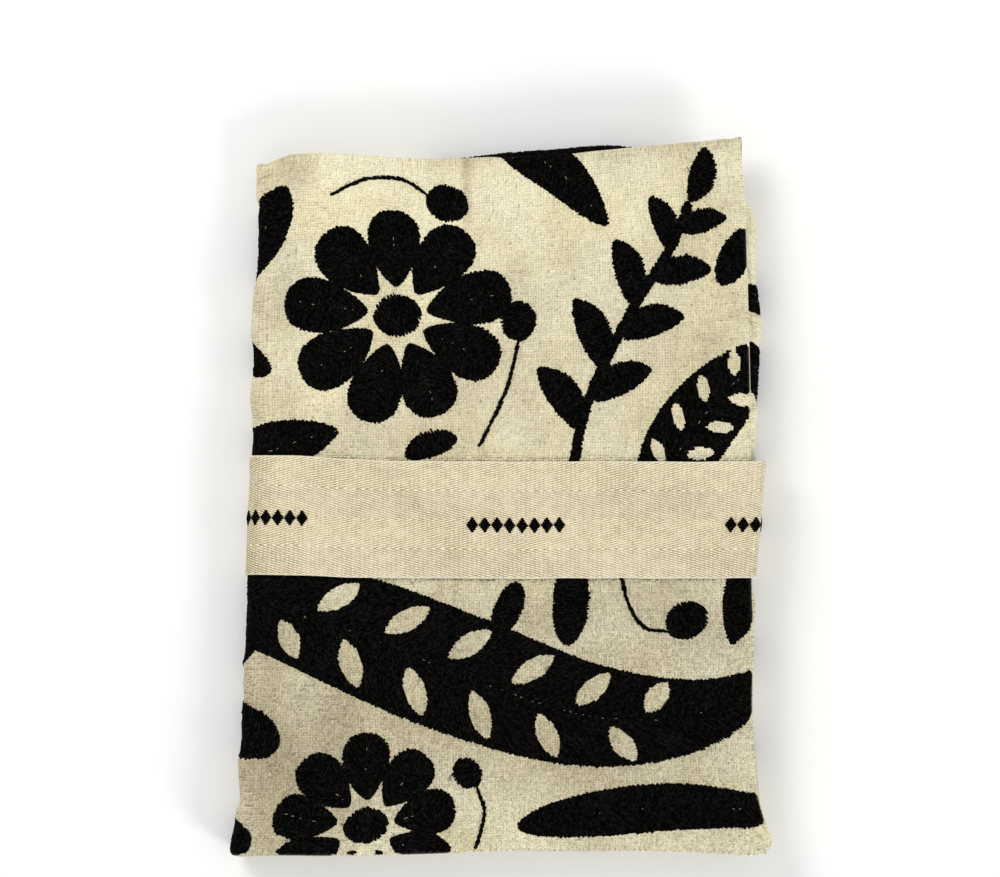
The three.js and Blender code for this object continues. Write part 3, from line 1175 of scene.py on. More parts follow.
@dataclass
class Embroidery:
    """The stitched pattern on the cloth, and the fields on the cloth that it gives rise to."""

    fold: Fold
    seed: int = 41
    spacing: float = 0.5
    s_high: float = 499.0
    v_high: float = 262.0
    loose_ends: int = 110
    pad: int = 24
    near_reach: float = 1.3
    wide_reach: float = 3.6
    line_reach: float = 1.1
    ink_reach: float = 0.45
    ripple_reach: tuple[float, float, float] = (1.3, 3.2, 10.0)
    foot_pucker: float = 0.45
    plain_tone: float = 0.34
    crease_x: float = -14.0
    crease_y: float = 110.0
    crease_lean: float = 0.03
    crease_reach: float = 1.3
    crease_depth: float = 0.60
    stitches: Stitches = field(init=False)
    lint: Stitches = field(init=False)
    fields: dict[str, Array] = field(init=False, default_factory=dict)

    def __post_init__(self) -> None:
        """Stitches the pattern and works out the fields."""
        size = self.fold.size
        rng = np.random.default_rng(self.seed)
        needle = Needle(size, rng)
        sets: list[Stitches] = []
        gaps: list[Stitches] = []
        done: list[Array] = []
        shape = (int(self.s_high / self.spacing) + 1, int(self.v_high / self.spacing) + 1)
        grid = np.stack(np.meshgrid(*(np.arange(n) * self.spacing for n in shape), indexing="ij"), axis=-1)
        ink = np.zeros(shape)
        lines = np.zeros(shape)
        for motif in drawing():
            outline = motif.shape.outline(size)
            low, high = outline.min(0), outline.max(0)
            bare = [window.outline(size) for window in motif.windows]
            near = [o for o in done if np.all(o.min(0) < high) and np.all(o.max(0) > low)]
            if motif.fill is Fill.STEM:
                sets.append(needle.stem(motif, near))
            else:
                sets.append(needle.hatch(motif, [*bare, *near]))
                done.append(outline)
            if motif.fill is Fill.VEINED:
                gaps.append(needle.specks(motif, [*bare, *near]))
            covers = inside(grid, outline)
            for window in bare:
                covers &= ~inside(grid, window)
            target = lines if motif.fill is Fill.STEM else ink
            target[covers] = 1.0
        every = Stitches.joined(sets)
        self.stitches = Stitches.joined([every, needle.loose(every, self.loose_ends)])
        self.lint = Stitches.joined(gaps)
        self.fields = self.worked_out(ink, lines, rng)
        log.info("%d stitches, %d specks", len(self.stitches.width), len(self.lint.width))

    def blurred(self, values: Array, reach: float, along: float = 1.0) -> Array:
        """A field blurred by a bell curve of that reach, times along in v, by way of its waves.

        Args:
            values: the field.
            reach: the bell curve's reach along s.
            along: how many times that it reaches along v.

        Returns:
            The blurred field.
        """
        wave_s = np.fft.fftfreq(values.shape[0], self.spacing)[:, None] * reach
        wave_v = np.fft.rfftfreq(values.shape[1], self.spacing)[None, :] * reach * along
        kernel = np.exp(-2.0 * math.pi**2 * (wave_s**2 + wave_v**2))
        return np.fft.irfft2(np.fft.rfft2(values) * kernel, s=values.shape)

    def ripples(self, shape: tuple[int, int], reach: float, rng: np.random.Generator) -> Array:
        """Blurred noise of mean 0 and spread 1, a little longer up the cloth than across it."""
        found = self.blurred(rng.normal(size=shape), reach, 1.3)
        return (found - found.mean()) / found.std()

    def worked_out(self, ink: Array, lines: Array, rng: np.random.Generator) -> dict[str, Array]:
        """The fields: ink where the yarn covers the cloth, and how far the cloth puffs up between.

        The puff grows with the share of bare cloth nearby, at two reaches, and dips along stem-stitch
        lines. Ripples in three sizes lie over it, stronger on bare cloth than under stitches, and
        stronger below the band than above it.

        Args:
            ink: 1 where a filled shape is.
            lines: 1 where a stem-stitch line is.
            rng: the source of the ripples.

        Returns:
            The fields by name.
        """
        bare = 1.0 - np.clip(np.pad(np.maximum(ink, lines), self.pad, mode="edge"), 0.0, 1.0)
        trim = (slice(self.pad, -self.pad), slice(self.pad, -self.pad))
        close = self.blurred(bare, self.near_reach)[trim]
        wide = self.blurred(bare, self.wide_reach)[trim]
        groove = self.blurred(np.pad(lines, self.pad), self.line_reach)[trim]
        shape = ink.shape
        fine, middle, broad = (self.ripples(shape, reach, rng) for reach in self.ripple_reach)
        open_cloth = smooth(0.35, 1.0, close)
        beside = 4.0 * close * (1.0 - close)
        puff = 0.65 * smooth(0.30, 1.0, wide) + 0.50 * open_cloth - 1.5 * groove
        pucker = open_cloth * (0.12 * fine + 0.44 * middle) + beside * (0.30 * fine + 0.28 * middle)
        pucker = pucker * (1.0 + self.foot_pucker * smooth(0.0, -40.0, self.places(shape)[1]))
        return {
            "ink": self.blurred(np.pad(ink, self.pad), self.ink_reach)[trim],
            "relief": puff + pucker + 0.34 * broad + 0.06 * middle - self.press_crease(shape),
            "tone": self.tone(shape, middle, broad),
        }

    def places(self, shape: tuple[int, int]) -> tuple[Array, Array]:
        """x, as if all the cloth lay open to the left, and y of the fields' samples."""
        s, v = (np.arange(n) * self.spacing for n in shape)
        return self.fold.size.free_edge - s[:, None], v[None, :] + self.fold.size.hem_y

    def press_crease(self, shape: tuple[int, int]) -> Array:
        """The depth of a short pressed crease that runs down from the ridge on the front.

        Args:
            shape: the fields' size.

        Returns:
            The depth at each sample.
        """
        x, y = self.places(shape)
        off = x - self.crease_x - self.crease_lean * (y - self.crease_y)
        across = np.exp(-((off / self.crease_reach) ** 2))
        return self.crease_depth * across * between((98.0, 108.0), (119.0, 124.0), y)

    def tone(self, shape: tuple[int, int], middle: Array, broad: Array) -> Array:
        """How brown the cloth is: clouds of its own tone, with painted shade and light down the front, at
        the folds and ridge, and beside the crease.

        Args:
            shape: the fields' size.
            middle: ripples of middle size.
            broad: wide ripples.

        Returns:
            The tone, 0.5 where the cloth has its own colour and more where it is browner.
        """
        x, y = self.places(shape)
        s = self.fold.size.free_edge - x
        # Painted shade makes the front darker down from the top. Painted light makes it lighter again on the
        # bottom hem, where the hem slopes towards the light.
        down = 0.34 * smooth(124.0, 20.0, y) + 0.20 * smooth(12.0, -40.0, y)
        down = down - 0.33 * smooth(-96.0, -122.0, y)
        # Painted shade where the cloth rolls away round the left fold, deeper at the drooping top-left
        # corner.
        left = between((150.0, 172.0), (190.0, 200.0), s)
        corner = between((150.0, 166.0), (190.0, 200.0), s) * smooth(106.0, 118.0, y)
        # Painted shade along the top ridge, where the cloth turns down away from the light.
        shade_amount = 0.50 * smooth(117.0, 122.5, y) * smooth(140.0, 100.0, s)
        shadow = 0.75 * np.exp(-(((x + 12.4) / 1.5) ** 2))
        shine = 0.35 * np.exp(-(((x + 17.0) / 1.6) ** 2))
        # This sum is painted light and shade: the left fold, its corner, the ridge, and the painted shadow
        # and highlight beside the crease.
        folds = 0.5 * left + 0.4 * corner + shade_amount + (shadow - shine) * smooth(94.0, 104.0, y)
        return self.plain_tone + 0.10 * middle + 0.12 * broad + down + bells(TONE_AND_SHADE_BELLS, x, y) + folds

    def read(self, name: str, s: Array, v: Array) -> Array:
        """Reads a field between its samples, in proportion to how near each of the four is.

        Args:
            name: the field.
            s: where to read it along the cover.
            v: where to read it up the leg.

        Returns:
            The field's value, held at its edges.
        """
        values = self.fields[name]
        row = np.clip(np.asarray(s) / self.spacing, 0.0, values.shape[0] - 1.001)
        column = np.clip(np.asarray(v) / self.spacing, 0.0, values.shape[1] - 1.001)
        i, j = row.astype(int), column.astype(int)
        a, b = row - i, column - j
        low = values[i, j] * (1.0 - b) + values[i, j + 1] * b
        high = values[i + 1, j] * (1.0 - b) + values[i + 1, j + 1] * b
        return low * (1.0 - a) + high * a


# The cloth's surface


def rolled(size: CoverSize, s: Array, v: Array, rim: float) -> Array:
    """How far the cloth has turned in towards the seam: a quarter circle within rim of an edge.

    Args:
        size: the cover's sizes.
        s: distance along the cover.
        v: distance from the hem.
        rim: the quarter circle's radius.

    Returns:
        The share of the way to the seam.
    """
    from_edge = np.minimum(np.minimum(s, size.side - s), np.minimum(v, size.v_end - v))
    short = 1.0 - np.clip(from_edge / rim, 0.0, 1.0)
    return 1.0 - np.sqrt(np.clip(1.0 - short**2, 0.0, 1.0))


@dataclass(frozen=True)
class Surface:
    """The height of the cloth's outer side from its ply's middle, with its relief and rolled rims."""

    fold: Fold
    embroidery: Embroidery
    bed: float = 0.50
    pressed_bed: float = 0.85
    rim: float = 1.5
    puff: float = 1.0
    pressed: float = 0.14
    deepest: float = 0.72
    pinned_reach: float = 9.0

    def strength(self, s: Array, v: Array) -> Array:
        """How much of the relief shows: all on the front, little where the packet lies on the surface.

        It also fades under the band, towards the rims, and over the ridge to the hidden inner leg.

        Args:
            s: distance along the cover.
            v: distance from the hem.

        Returns:
            The share of the relief.
        """
        size, band = self.fold.size, self.fold.band
        hidden = smooth(size.tucked_start - 2, size.tucked_start + 5, s)
        y = v + size.hem_y
        reach = self.pinned_reach
        held = between((band.foot - reach, band.foot - 1.5), (band.top + 2.5, band.top + reach), y)
        rims = smooth(0.0, 5.0, v) * smooth(0.0, 4.0, s)
        over = 1.0 - smooth(size.leg - 2.0, size.leg + size.ridge_turn * 0.8, v)
        level = self.puff + (self.pressed - self.puff) * self.beneath(s)
        return level * (1.0 - hidden) * (1.0 - 0.86 * held) * rims * over

    def beneath(self, s: Array) -> Array:
        """1 where the packet rests on the cloth, falling to 0 round both folds."""
        turn, start, end, _ = self.fold.size.turns
        return between((turn + 5, start - 2), (end + 1, end + 7), s)

    def height(self, s: Array, v: Array) -> Array:
        """Distance of the cloth's outer side from the ply's middle, with its dips softly held.

        Args:
            s: distance along the cover.
            v: distance from the hem.

        Returns:
            The distance at each place.
        """
        size = self.fold.size
        flat = size.ply_half - self.bed + (self.bed - self.pressed_bed) * self.beneath(s)
        relief = self.embroidery.read("relief", s, v) * self.strength(s, v) + self.deepest
        relief = 0.5 * (relief + np.hypot(relief, 0.12)) - self.deepest
        return flat + relief - rolled(size, s, v, self.rim) * (flat - size.seam_level)


def pressed(points: Array, reach: float = 0.1) -> Array:
    """Points kept above the table: a height under reach becomes reach times e to (height / reach - 1)."""
    low = reach * np.exp(np.minimum(points[:, 2:], reach) / reach - 1.0)
    return np.concatenate([points[:, :2], np.maximum(points[:, 2:], low)], axis=1)


def build_mesh(
    name: str,
    points: Array,
    faces: Sequence[Array],
    uv: Array | None = None,
    values: dict[str, Array] | None = None,
) -> bpy.types.Object:
    """Makes a smooth-shaded mesh object from arrays.

    Args:
        name: the piece's name.
        points: its points in millimetres, in the frame's directions.
        faces: sets of faces, each an array with one row of point numbers for each face.
        uv: two numbers for each point, for the piece's own map.
        values: numbers for each point, kept as named attributes.

    Returns:
        The object, at the origin and in the scene.
    """
    mesh = bpy.data.meshes.new(name)
    corners = np.concatenate([f.ravel() for f in faces]).astype(np.int32)
    sizes = np.concatenate([np.full(len(f), f.shape[1]) for f in faces])
    starts = (np.cumsum(sizes) - sizes).astype(np.int32)
    mesh.vertices.add(len(points))
    mesh.vertices.foreach_set("co", (np.asarray(points) * MM).astype(np.float32).ravel())
    mesh.loops.add(len(corners))
    mesh.loops.foreach_set("vertex_index", corners)
    mesh.polygons.add(len(sizes))
    mesh.polygons.foreach_set("loop_start", starts)
    mesh.update(calc_edges=True)
    mesh.validate()
    mesh.shade_smooth()
    if uv is not None:
        layer = mesh.uv_layers.new(name="cloth")
        layer.data.foreach_set("uv", uv[corners].astype(np.float32).ravel())
    for label, numbers in (values or {}).items():
        attribute = mesh.attributes.new(label, "FLOAT", "POINT")
        attribute.data.foreach_set("value", numbers.astype(np.float32).ravel())
    piece = bpy.data.objects.new(name, mesh)
    bpy.context.scene.collection.objects.link(piece)
    log.info("%s: %d points, %d faces", name, len(points), len(sizes))
    return piece


def grid_faces(rows: int, columns: int, first: int = 0, flip: bool = False) -> Array:
    """The four-sided faces of a grid of points numbered row by row from first.

    Args:
        rows: how many rows of points there are.
        columns: how many there are in a row.
        first: the first point's number.
        flip: whether the faces look the other way.

    Returns:
        Four point numbers for each face.
    """
    i, j = np.meshgrid(np.arange(rows - 1), np.arange(columns - 1), indexing="ij")
    a = (first + i * columns + j).ravel()
    quads = np.stack([a, a + 1, a + columns + 1, a + columns], axis=-1)
    return quads[:, ::-1] if flip else quads


def sheet_faces(rows: Array, columns: Array) -> tuple[list[Array], Array, Array]:
    """The faces of a closed sheet with a fine outer skin and a coarse inner one.

    The inner skin keeps only the rows and columns that are named, and each rim face joins one step of
    the inner skin's rim to the run of fine steps beside it.

    Args:
        rows: the numbers of the outer skin's rows that the inner skin keeps, the first and last among them.
        columns: the same for its columns.

    Returns:
        The sets of faces, and the inner skin's row and column numbers for each of its points.
    """
    row_count, column_count = rows[-1] + 1, columns[-1] + 1
    first = row_count * column_count
    sets = [grid_faces(row_count, column_count), grid_faces(len(rows), len(columns), first, True)]
    fine = np.arange(first).reshape(row_count, column_count)
    coarse = first + np.arange(len(rows) * len(columns)).reshape(len(rows), len(columns))
    rims = (
        (fine[0], columns, coarse[0], True),
        (fine[-1], columns, coarse[-1], False),
        (fine[:, 0], rows, coarse[:, 0], False),
        (fine[:, -1], rows, coarse[:, -1], True),
    )
    for outer_rim, kept, inner_rim, flip in rims:
        for run in np.unique(np.diff(kept)):
            at = np.nonzero(np.diff(kept) == run)[0]
            along = outer_rim[kept[at][:, None] + np.arange(run + 1)[None]]
            back = np.stack([inner_rim[at + 1], inner_rim[at]], axis=-1)
            ring = np.concatenate([along, back], axis=1)
            sets.append(ring[:, ::-1] if flip else ring)
    return sets, *crossed(rows, columns)


def crossed(rows: Array, columns: Array) -> tuple[Array, Array]:
    """The row's and the column's value at each point of a grid, row by row."""
    grid = np.meshgrid(rows, columns, indexing="ij")
    return grid[0].ravel(), grid[1].ravel()


def kept_steps(count: int, every: int) -> Array:
    """The numbers 0, every, twice every and so on, with the last number of all."""
    return np.unique(np.concatenate([np.arange(0, count, every), [count - 1]]))


RIM_STEPS = np.array([0.0, 0.12, 0.35, 0.7, 1.1, 1.6, 2.3])
RIM_END = 3.2
RIM_START = 3.0


def grid_lines(marks: Sequence[float], steps: Sequence[float], length: float) -> Array:
    """The places of a sheet's grid lines one way: close at its rims, and even between each two marks.

    Args:
        marks: where the step changes, between the two rims.
        steps: the steps, from the first rim's end to the second's start.
        length: length of the cloth that way.

    Returns:
        The places.
    """
    ends = [RIM_END, *marks, length - RIM_START]
    runs = [evenly(*run) for run in zip(ends, ends[1:], steps)]
    return np.concatenate([RIM_STEPS, *runs, length - RIM_STEPS[::-1]])


@dataclass
class FrontPanel:
    """The embroidered panel: its cloth, folded and puffed up between the stitches."""

    surface: Surface
    name: str = "front_cloth"
    steps_s: tuple[float, ...] = (1.15, 0.9, 2.0, 0.8, 7.0)
    steps_v: tuple[float, ...] = (1.15, 0.75, 7.0)
    coarse: int = 4

    def build(self) -> bpy.types.Object:
        """Builds the cloth as a closed thin sheet whose outer side carries the relief.

        Returns:
            The object, with the yarn's cover and a slow change of tone, which carries painted shade and
            light, as attributes.
        """
        size = self.surface.fold.size
        ridge = (size.leg - 1.0, size.leg + size.ridge_turn)
        s_line = grid_lines(size.turns, self.steps_s, size.side)
        v_line = grid_lines(ridge, self.steps_v, size.v_end)
        s, v = crossed(s_line, v_line)
        outer = self.surface.height(s, v)
        rows, columns = kept_steps(len(s_line), self.coarse), kept_steps(len(v_line), self.coarse)
        faces, row, column = sheet_faces(rows, columns)
        s_in, v_in = s_line[row], v_line[column]
        inner = np.minimum(size.ply_half - size.front_thick - 0.2, self.surface.height(s_in, v_in) - 0.05)
        points = np.concatenate(
            [self.surface.fold.place(s, v, outer), self.surface.fold.place(s_in, v_in, inner)]
        )
        every_s, every_v = np.concatenate([s, s_in]), np.concatenate([v, v_in])
        ink = self.surface.embroidery.read("ink", every_s, every_v)
        ink = ink * (every_v < self.surface.embroidery.v_high) * (every_s < self.surface.embroidery.s_high)
        ink[len(s) :] = 0.0
        tone = self.surface.embroidery.read("tone", every_s, every_v)
        uv = np.stack([every_s, every_v], axis=-1) / size.side
        return build_mesh(self.name, points, faces, uv, {"ink": ink, "tone": tone})


@dataclass
class BackPanel:
    """The plain panel, which lines the fold and shows at the sewn edges."""

    fold: Fold
    name: str = "back_cloth"
    steps_s: tuple[float, ...] = (3.4, 1.4, 3.4, 1.3, 8.0)
    steps_v: tuple[float, ...] = (8.0, 1.0, 8.0)
    rim: float = 1.3

    def build(self) -> bpy.types.Object:
        """Builds the cloth as a closed thin sheet that rolls up to the seam at its rims.

        Returns:
            The object.
        """
        size = self.fold.size
        ridge = (size.leg, size.leg + size.ridge_turn)
        s_line = grid_lines(size.turns, self.steps_s, size.side)
        v_line = grid_lines(ridge, self.steps_v, size.v_end)
        s, v = crossed(s_line, v_line)
        roll = rolled(size, s, v, self.rim)
        outer_flat = size.leg_gap / 2 + size.back_thick
        outer = outer_flat + roll * (size.seam_level - 0.06 - outer_flat)
        inner = size.leg_gap / 2 + roll * (size.seam_level - 0.12 - size.leg_gap / 2)
        wave = 0.07 * np.sin(s * 0.31 + 1.3 * np.sin(v * 0.11)) * (1.0 - roll)
        faces, _, _ = sheet_faces(np.arange(len(s_line)), np.arange(len(v_line)))
        points = np.concatenate([self.fold.place(s, v, outer + wave), self.fold.place(s, v, inner + wave)])
        uv = np.tile(np.stack([s, v], axis=-1) / size.side, (2, 1))
        return build_mesh(self.name, points, faces, uv)


# Yarn


@dataclass(frozen=True)
class Strand:
    """The form of one stitch: a low arch of yarn that dives into the cloth at both ends."""

    shares: tuple[float, ...] = (0.0, 0.07, 0.33, 0.67, 0.93, 1.0)
    rises: tuple[float, ...] = (-0.35, 0.50, 0.97, 0.97, 0.50, -0.35)
    widths: tuple[float, ...] = (0.80, 0.95, 1.0, 1.0, 0.95, 0.80)
    across: tuple[float, ...] = (1.0, 0.62, 0.0, -0.62, -1.0)
    up: tuple[float, ...] = (0.0, 0.74, 1.0, 0.74, 0.0)
    body: float = 0.62

    def tones(self, stitches: Stitches, seed: int) -> dict[str, Array]:
        """A random tone for each stitch, at each of its points, as a named attribute."""
        tones = np.random.default_rng(seed).uniform(0.0, 1.0, len(stitches.width))
        return {"tone": np.repeat(tones, len(self.shares) * len(self.across))}

    def arrays(self, stitches: Stitches) -> tuple[Array, Array, list[Array], Array]:
        """Works out every stitch at once.

        A point is on the straight line between the stitch's ends, out sideways by the section's
        share of half its width, and up by the arch there plus the section's share of the yarn's body.

        Args:
            stitches: the stitches.

        Returns:
            s and v of each point, its height over the cloth, the sets of faces, and the map: millimetres
            along the yarn and the share of the way round it.
        """
        count, rings, sides = len(stitches.width), len(self.shares), len(self.across)
        share = np.array(self.shares)[None, :, None]
        way = stitches.end - stitches.start
        length = np.linalg.norm(way, axis=1)
        beside = np.stack([-way[:, 1], way[:, 0]], axis=-1) / length[:, None]
        ring_width = np.array(self.widths)[None, :] * stitches.width[:, None] / 2
        sideways = ring_width[:, :, None] * np.array(self.across)[None, None, :]
        flat = (
            stitches.start[:, None, None, :]
            + way[:, None, None, :] * share[..., None]
            + beside[:, None, None, :] * sideways[..., None]
        )
        arch = np.array(self.rises)[None, :] * stitches.height[:, None] * (1.0 - self.body)
        body = np.array(self.widths)[None, :] * stitches.height[:, None] * self.body
        height = arch[:, :, None] + body[:, :, None] * np.array(self.up)[None, None, :]
        along = np.broadcast_to(length[:, None, None] * share, height.shape)
        around = np.broadcast_to(np.linspace(0.0, 1.0, sides)[None, None, :], height.shape)
        ring = np.arange(count)[:, None, None] * rings + np.arange(rings - 1)[None, :, None]
        side = np.arange(sides)[None, None, :]
        after = (side + 1) % sides
        here, there = ring * sides, (ring + 1) * sides
        corners = (here + side, there + side, there + after, here + after)
        quads = np.stack(np.broadcast_arrays(*corners), axis=-1).reshape(-1, 4)
        first = np.arange(count)[:, None] * rings * sides
        near = first + np.arange(sides)[None]
        far = first + (rings - 1) * sides + np.arange(sides)[None, ::-1]
        uv = np.stack([along.ravel(), around.ravel()], axis=-1)
        return flat.reshape(-1, 2), height.ravel(), [quads, near, far], uv


@dataclass
class YarnPiece:
    """Some of the embroidery's stitches as one mesh."""

    name: str
    stitches: Stitches
    surface: Surface
    strand: Strand = field(default_factory=Strand)
    seed: int = 5

    def build(self) -> bpy.types.Object:
        """Builds the stitches on the cloth's outer side and carries them round the folds.

        Returns:
            The object, with one tone for each stitch as an attribute.
        """
        flat, height, faces, uv = self.strand.arrays(self.stitches)
        s, v = np.maximum(flat[:, 0], 0.0), np.maximum(flat[:, 1], 0.0)
        out = self.surface.height(s, v) + height
        points = self.surface.fold.place(s, v, out)
        tones = self.strand.tones(self.stitches, self.seed)
        return build_mesh(self.name, pressed(points), faces, uv, tones)


# The tape band


@dataclass
class BandPath:
    """The line that the tape follows round the packet, and the places beside it."""

    fold: Fold
    step: float = 0.8
    snug: float = 0.6
    line: Array = field(init=False)
    normal: Array = field(init=False)
    along: Array = field(init=False)

    def __post_init__(self) -> None:
        """Strings the path together from straight runs and arcs, and measures it."""
        size, band = self.fold.size, self.fold.band
        out = band.gap + band.thick / 2
        radius = size.left_radius + size.ply_half + out
        turn = np.linspace(1.5 * math.pi, 0.5 * math.pi, int(math.pi * radius / self.step))
        left = arc(size.left_centre, size.low_z + size.left_radius, radius, turn)
        under_x = evenly(band.lap_half, size.left_centre, self.step)
        under = np.stack([under_x, np.full_like(under_x, -out)], axis=-1)
        over_x = evenly(size.left_centre + self.step, size.free_edge - 1.0, self.step)
        over = np.stack([over_x, self.fold.front_height(over_x) + size.ply_half + out], axis=-1)
        middle = (band.side_top + band.side_foot) / 2 - band.corner - band.thick
        bend = band.corner + band.thick / 2
        quarter = np.linspace(0.5 * math.pi, 0.0, 8)
        top = size.top_face + band.gap - band.corner
        foot = band.corner - band.gap
        upper = arc(middle, top, bend, quarter)
        fall = evenly(top, foot, self.step)[1:]
        side = np.stack([np.full_like(fall, middle + bend), fall], axis=-1)
        lower = arc(middle, foot, bend, quarter - math.pi / 2)
        back_x = evenly(middle, -band.lap_half, self.step)[1:]
        back = np.stack([back_x, -out - band.one_layer * band.lap(back_x)], axis=-1)
        raw = np.concatenate([under, left, over, upper, side, lower, back])
        length = distances(raw)
        self.along = np.linspace(0.0, length[-1], int(length[-1] / self.step))
        self.line = read_line(self.along, length, raw)
        self.normal = normals(self.line)

    @property
    def length(self) -> float:
        """Length of the tape."""
        return float(self.along[-1])

    def at_x(self, x: float) -> float:
        """Distance along the tape of a place on the packet's top."""
        on_top = self.line[:, 1] > self.fold.size.top_face * 0.6
        return float(self.along[on_top][np.argmin(np.abs(self.line[on_top, 0] - x))])

    def place(self, q: Array, y: Array, out: Array) -> Array:
        """Where a point of the tape lies.

        Args:
            q: distance along the tape.
            y: distance up the packet.
            out: distance out from the tape's middle.

        Returns:
            The points, with x, y and z along the last axis.
        """
        band = self.fold.band
        away = read_line(q, self.along, self.normal) * out[:, None]
        x, z = (read_line(q, self.along, self.line) + away).T
        height = self.fold.settle_height(x, y, z)
        side = band.side_foot + (band.side_top - band.side_foot) * (y - band.foot) / band.width
        lean = (side - (band.side_top + band.side_foot) / 2) * smooth(72.0, 88.0, x)
        snug = self.snug * smooth(-80.0, -91.0, x)
        moved_x = x + lean + snug + self.fold.left_shift(x, y) + self.fold.shift[0]
        return np.stack([moved_x, y + self.fold.shift[1], height], axis=-1)


@dataclass
class TapeBand:
    """The herringbone tape, a little wavy along its edges."""

    path: BandPath
    name: str = "tape"
    columns: int = 30
    step: float = 1.6
    wave: float = 0.30
    lean: float = 2.1
    lean_reach: float = 32.0

    def edge_shift(self, q: Array, share: Array) -> Array:
        """How far the tape strays along the packet: slow waves, and a lift at the left fold.

        Args:
            q: distance along the tape.
            share: share of the way up its width.

        Returns:
            The distance up the packet.
        """
        waves = 0.10 * np.sin(q * 0.11 + 0.7) + 0.07 * np.sin(q * 0.29 + 2.0 * share)
        left = self.path.at_x(self.path.fold.size.left_centre)
        lift = np.exp(-(((q - left) / self.lean_reach) ** 2))
        return waves + self.lean * lift * (0.5 + 0.5 * share)

    def height(self, q: Array, share: Array) -> Array:
        """Ripples across the tape, strongest along its edges, and the thin selvedge.

        Args:
            q: distance along the tape.
            share: share of the way up its width.

        Returns:
            The height over the tape's even middle.
        """
        near_edge = np.abs(2.0 * share - 1.0) ** 3
        slow = np.sin(q * 0.085 + 3.0 * share) * 0.10
        quick = np.sin(q * 0.33 + 5.0 * share) * near_edge * self.wave * 0.5
        dent = 0.12 * np.sin(q * 0.47 + 9.0 * share * share) * np.sin(q * 0.061 + 1.0)
        return slow + quick + dent

    def place(self, q: Array, share: Array, out: Array) -> Array:
        """Where a point of the wavy tape lies, share of the way up its width."""
        y = self.path.fold.band.foot + self.path.fold.band.width * share + self.edge_shift(q, share)
        return self.path.place(q, y, out + self.height(q, share))

    def build(self) -> bpy.types.Object:
        """Builds the tape as a closed sheet with rounded selvedges.

        Returns:
            The object, mapped in millimetres along and across.
        """
        band = self.path.fold.band
        q_line = np.linspace(0.0, self.path.length, int(self.path.length / self.step))
        inner_shares = np.linspace(0.0, 1.0, self.columns + 1)
        share_line = np.unique(np.concatenate([inner_shares, [0.006, 0.014, 0.986, 0.994]]))
        q, share = crossed(q_line, share_line)
        from_edge = np.minimum(share, 1.0 - share) * band.width
        rounded = 1.0 - (1.0 - np.clip(from_edge / 0.5, 0, 1)) ** 2
        half = 0.4 * band.thick * np.sqrt(np.clip(rounded, 0.12, 1.0))
        faces, _, _ = sheet_faces(np.arange(len(q_line)), np.arange(len(share_line)))
        faces = [f[:, ::-1] for f in faces]
        points = np.concatenate([self.place(q, share, half), self.place(q, share, -half)])
        uv = np.tile(np.stack([q / self.path.length, share], axis=-1), (2, 1))
        uv[len(q) :, 1] += 1.2
        left = self.path.at_x(self.path.fold.size.left_centre)
        # Painted shade: the tone is browner where the tape wraps round the left fold, with a slow wave of
        # its own tone along it.
        tone = 0.5 + 0.45 * np.exp(-(((q - left + 9.0) / 8.0) ** 2)) + 0.10 * np.sin(q * 0.07 + 4.0 * share)
        return build_mesh(self.name, pressed(points), faces, uv, {"tone": np.tile(tone, 2)})


@dataclass
class BandStitching:
    """Stitches on the tape: plain rows of small lozenges, and the seam that joins its ends."""

    tape: TapeBand
    pitch: float = 91.5
    first_x: float = 5.0
    tall: float = 6.0
    wide: float = 3.9
    apart: float = 4.4
    across: int = 8
    height: float = -9.6
    raised: float = 1.0
    hand_seed: int = 17
    tone_seed: int = 3
    strand: Strand = field(default_factory=Strand)

    def lozenges(self) -> Stitches:
        """Upright satin stitches whose length follows each lozenge, tall ones and short ones in turn.

        Returns:
            The stitches, in distances along the tape and up the packet.
        """
        path = self.tape.path
        middle = path.at_x(self.first_x)
        left = path.at_x(path.fold.size.left_centre)
        rng = np.random.default_rng(self.hand_seed)
        lines = []
        for k in range(-3, 4):
            for i in range(self.across):
                centre = middle + k * self.pitch + (i - (self.across - 1) / 2) * self.apart
                if not 24.0 < centre < path.length - 24.0:
                    continue
                q = centre + evenly(-self.wide / 2, self.wide / 2, 0.5) + 0.25
                half = self.tall / 2 * np.clip(1.0 - np.abs(q - centre) / (self.wide / 2), 0.16, 1.0)
                level = self.height + self.raised * np.exp(-(((centre - left) / 40.0) ** 2))
                lines.append(np.stack([q, level - half, q, level + half], axis=-1))
        ends = np.concatenate(lines)
        ends += rng.normal(0.0, 0.05, ends.shape)
        return Stitches.alike(ends, 0.66, 0.42)

    def seam(self) -> Stitches:
        """Two rows of running stitches across the tape, through the lap of its ends.

        Returns:
            The stitches, in distances along the tape and up the packet.
        """
        band, path = self.tape.path.fold.band, self.tape.path
        low = evenly(band.foot + 2.0, band.top - 2.0, 3.4)
        rows = []
        for inset in (3.0, 2 * band.lap_half - 3.0):
            q = np.full_like(low, path.length - inset)
            rows.append(np.stack([q, low, q + 0.1, low + 2.5], axis=-1))
        return Stitches.alike(np.concatenate(rows), 0.5, 0.34)

    def build(self, name: str, stitches: Stitches) -> bpy.types.Object:
        """Builds stitches on the tape's outer side.

        Args:
            name: the piece's name.
            stitches: the stitches to build.

        Returns:
            The object.
        """
        band = self.tape.path.fold.band
        flat, height, faces, uv = self.strand.arrays(stitches)
        share = (flat[:, 1] - band.foot) / band.width
        points = self.tape.place(flat[:, 0], share, height + band.thick * 0.4)
        faces = [f[:, ::-1] for f in faces]
        return build_mesh(name, pressed(points), faces, uv, self.strand.tones(stitches, self.tone_seed))


# Finishes


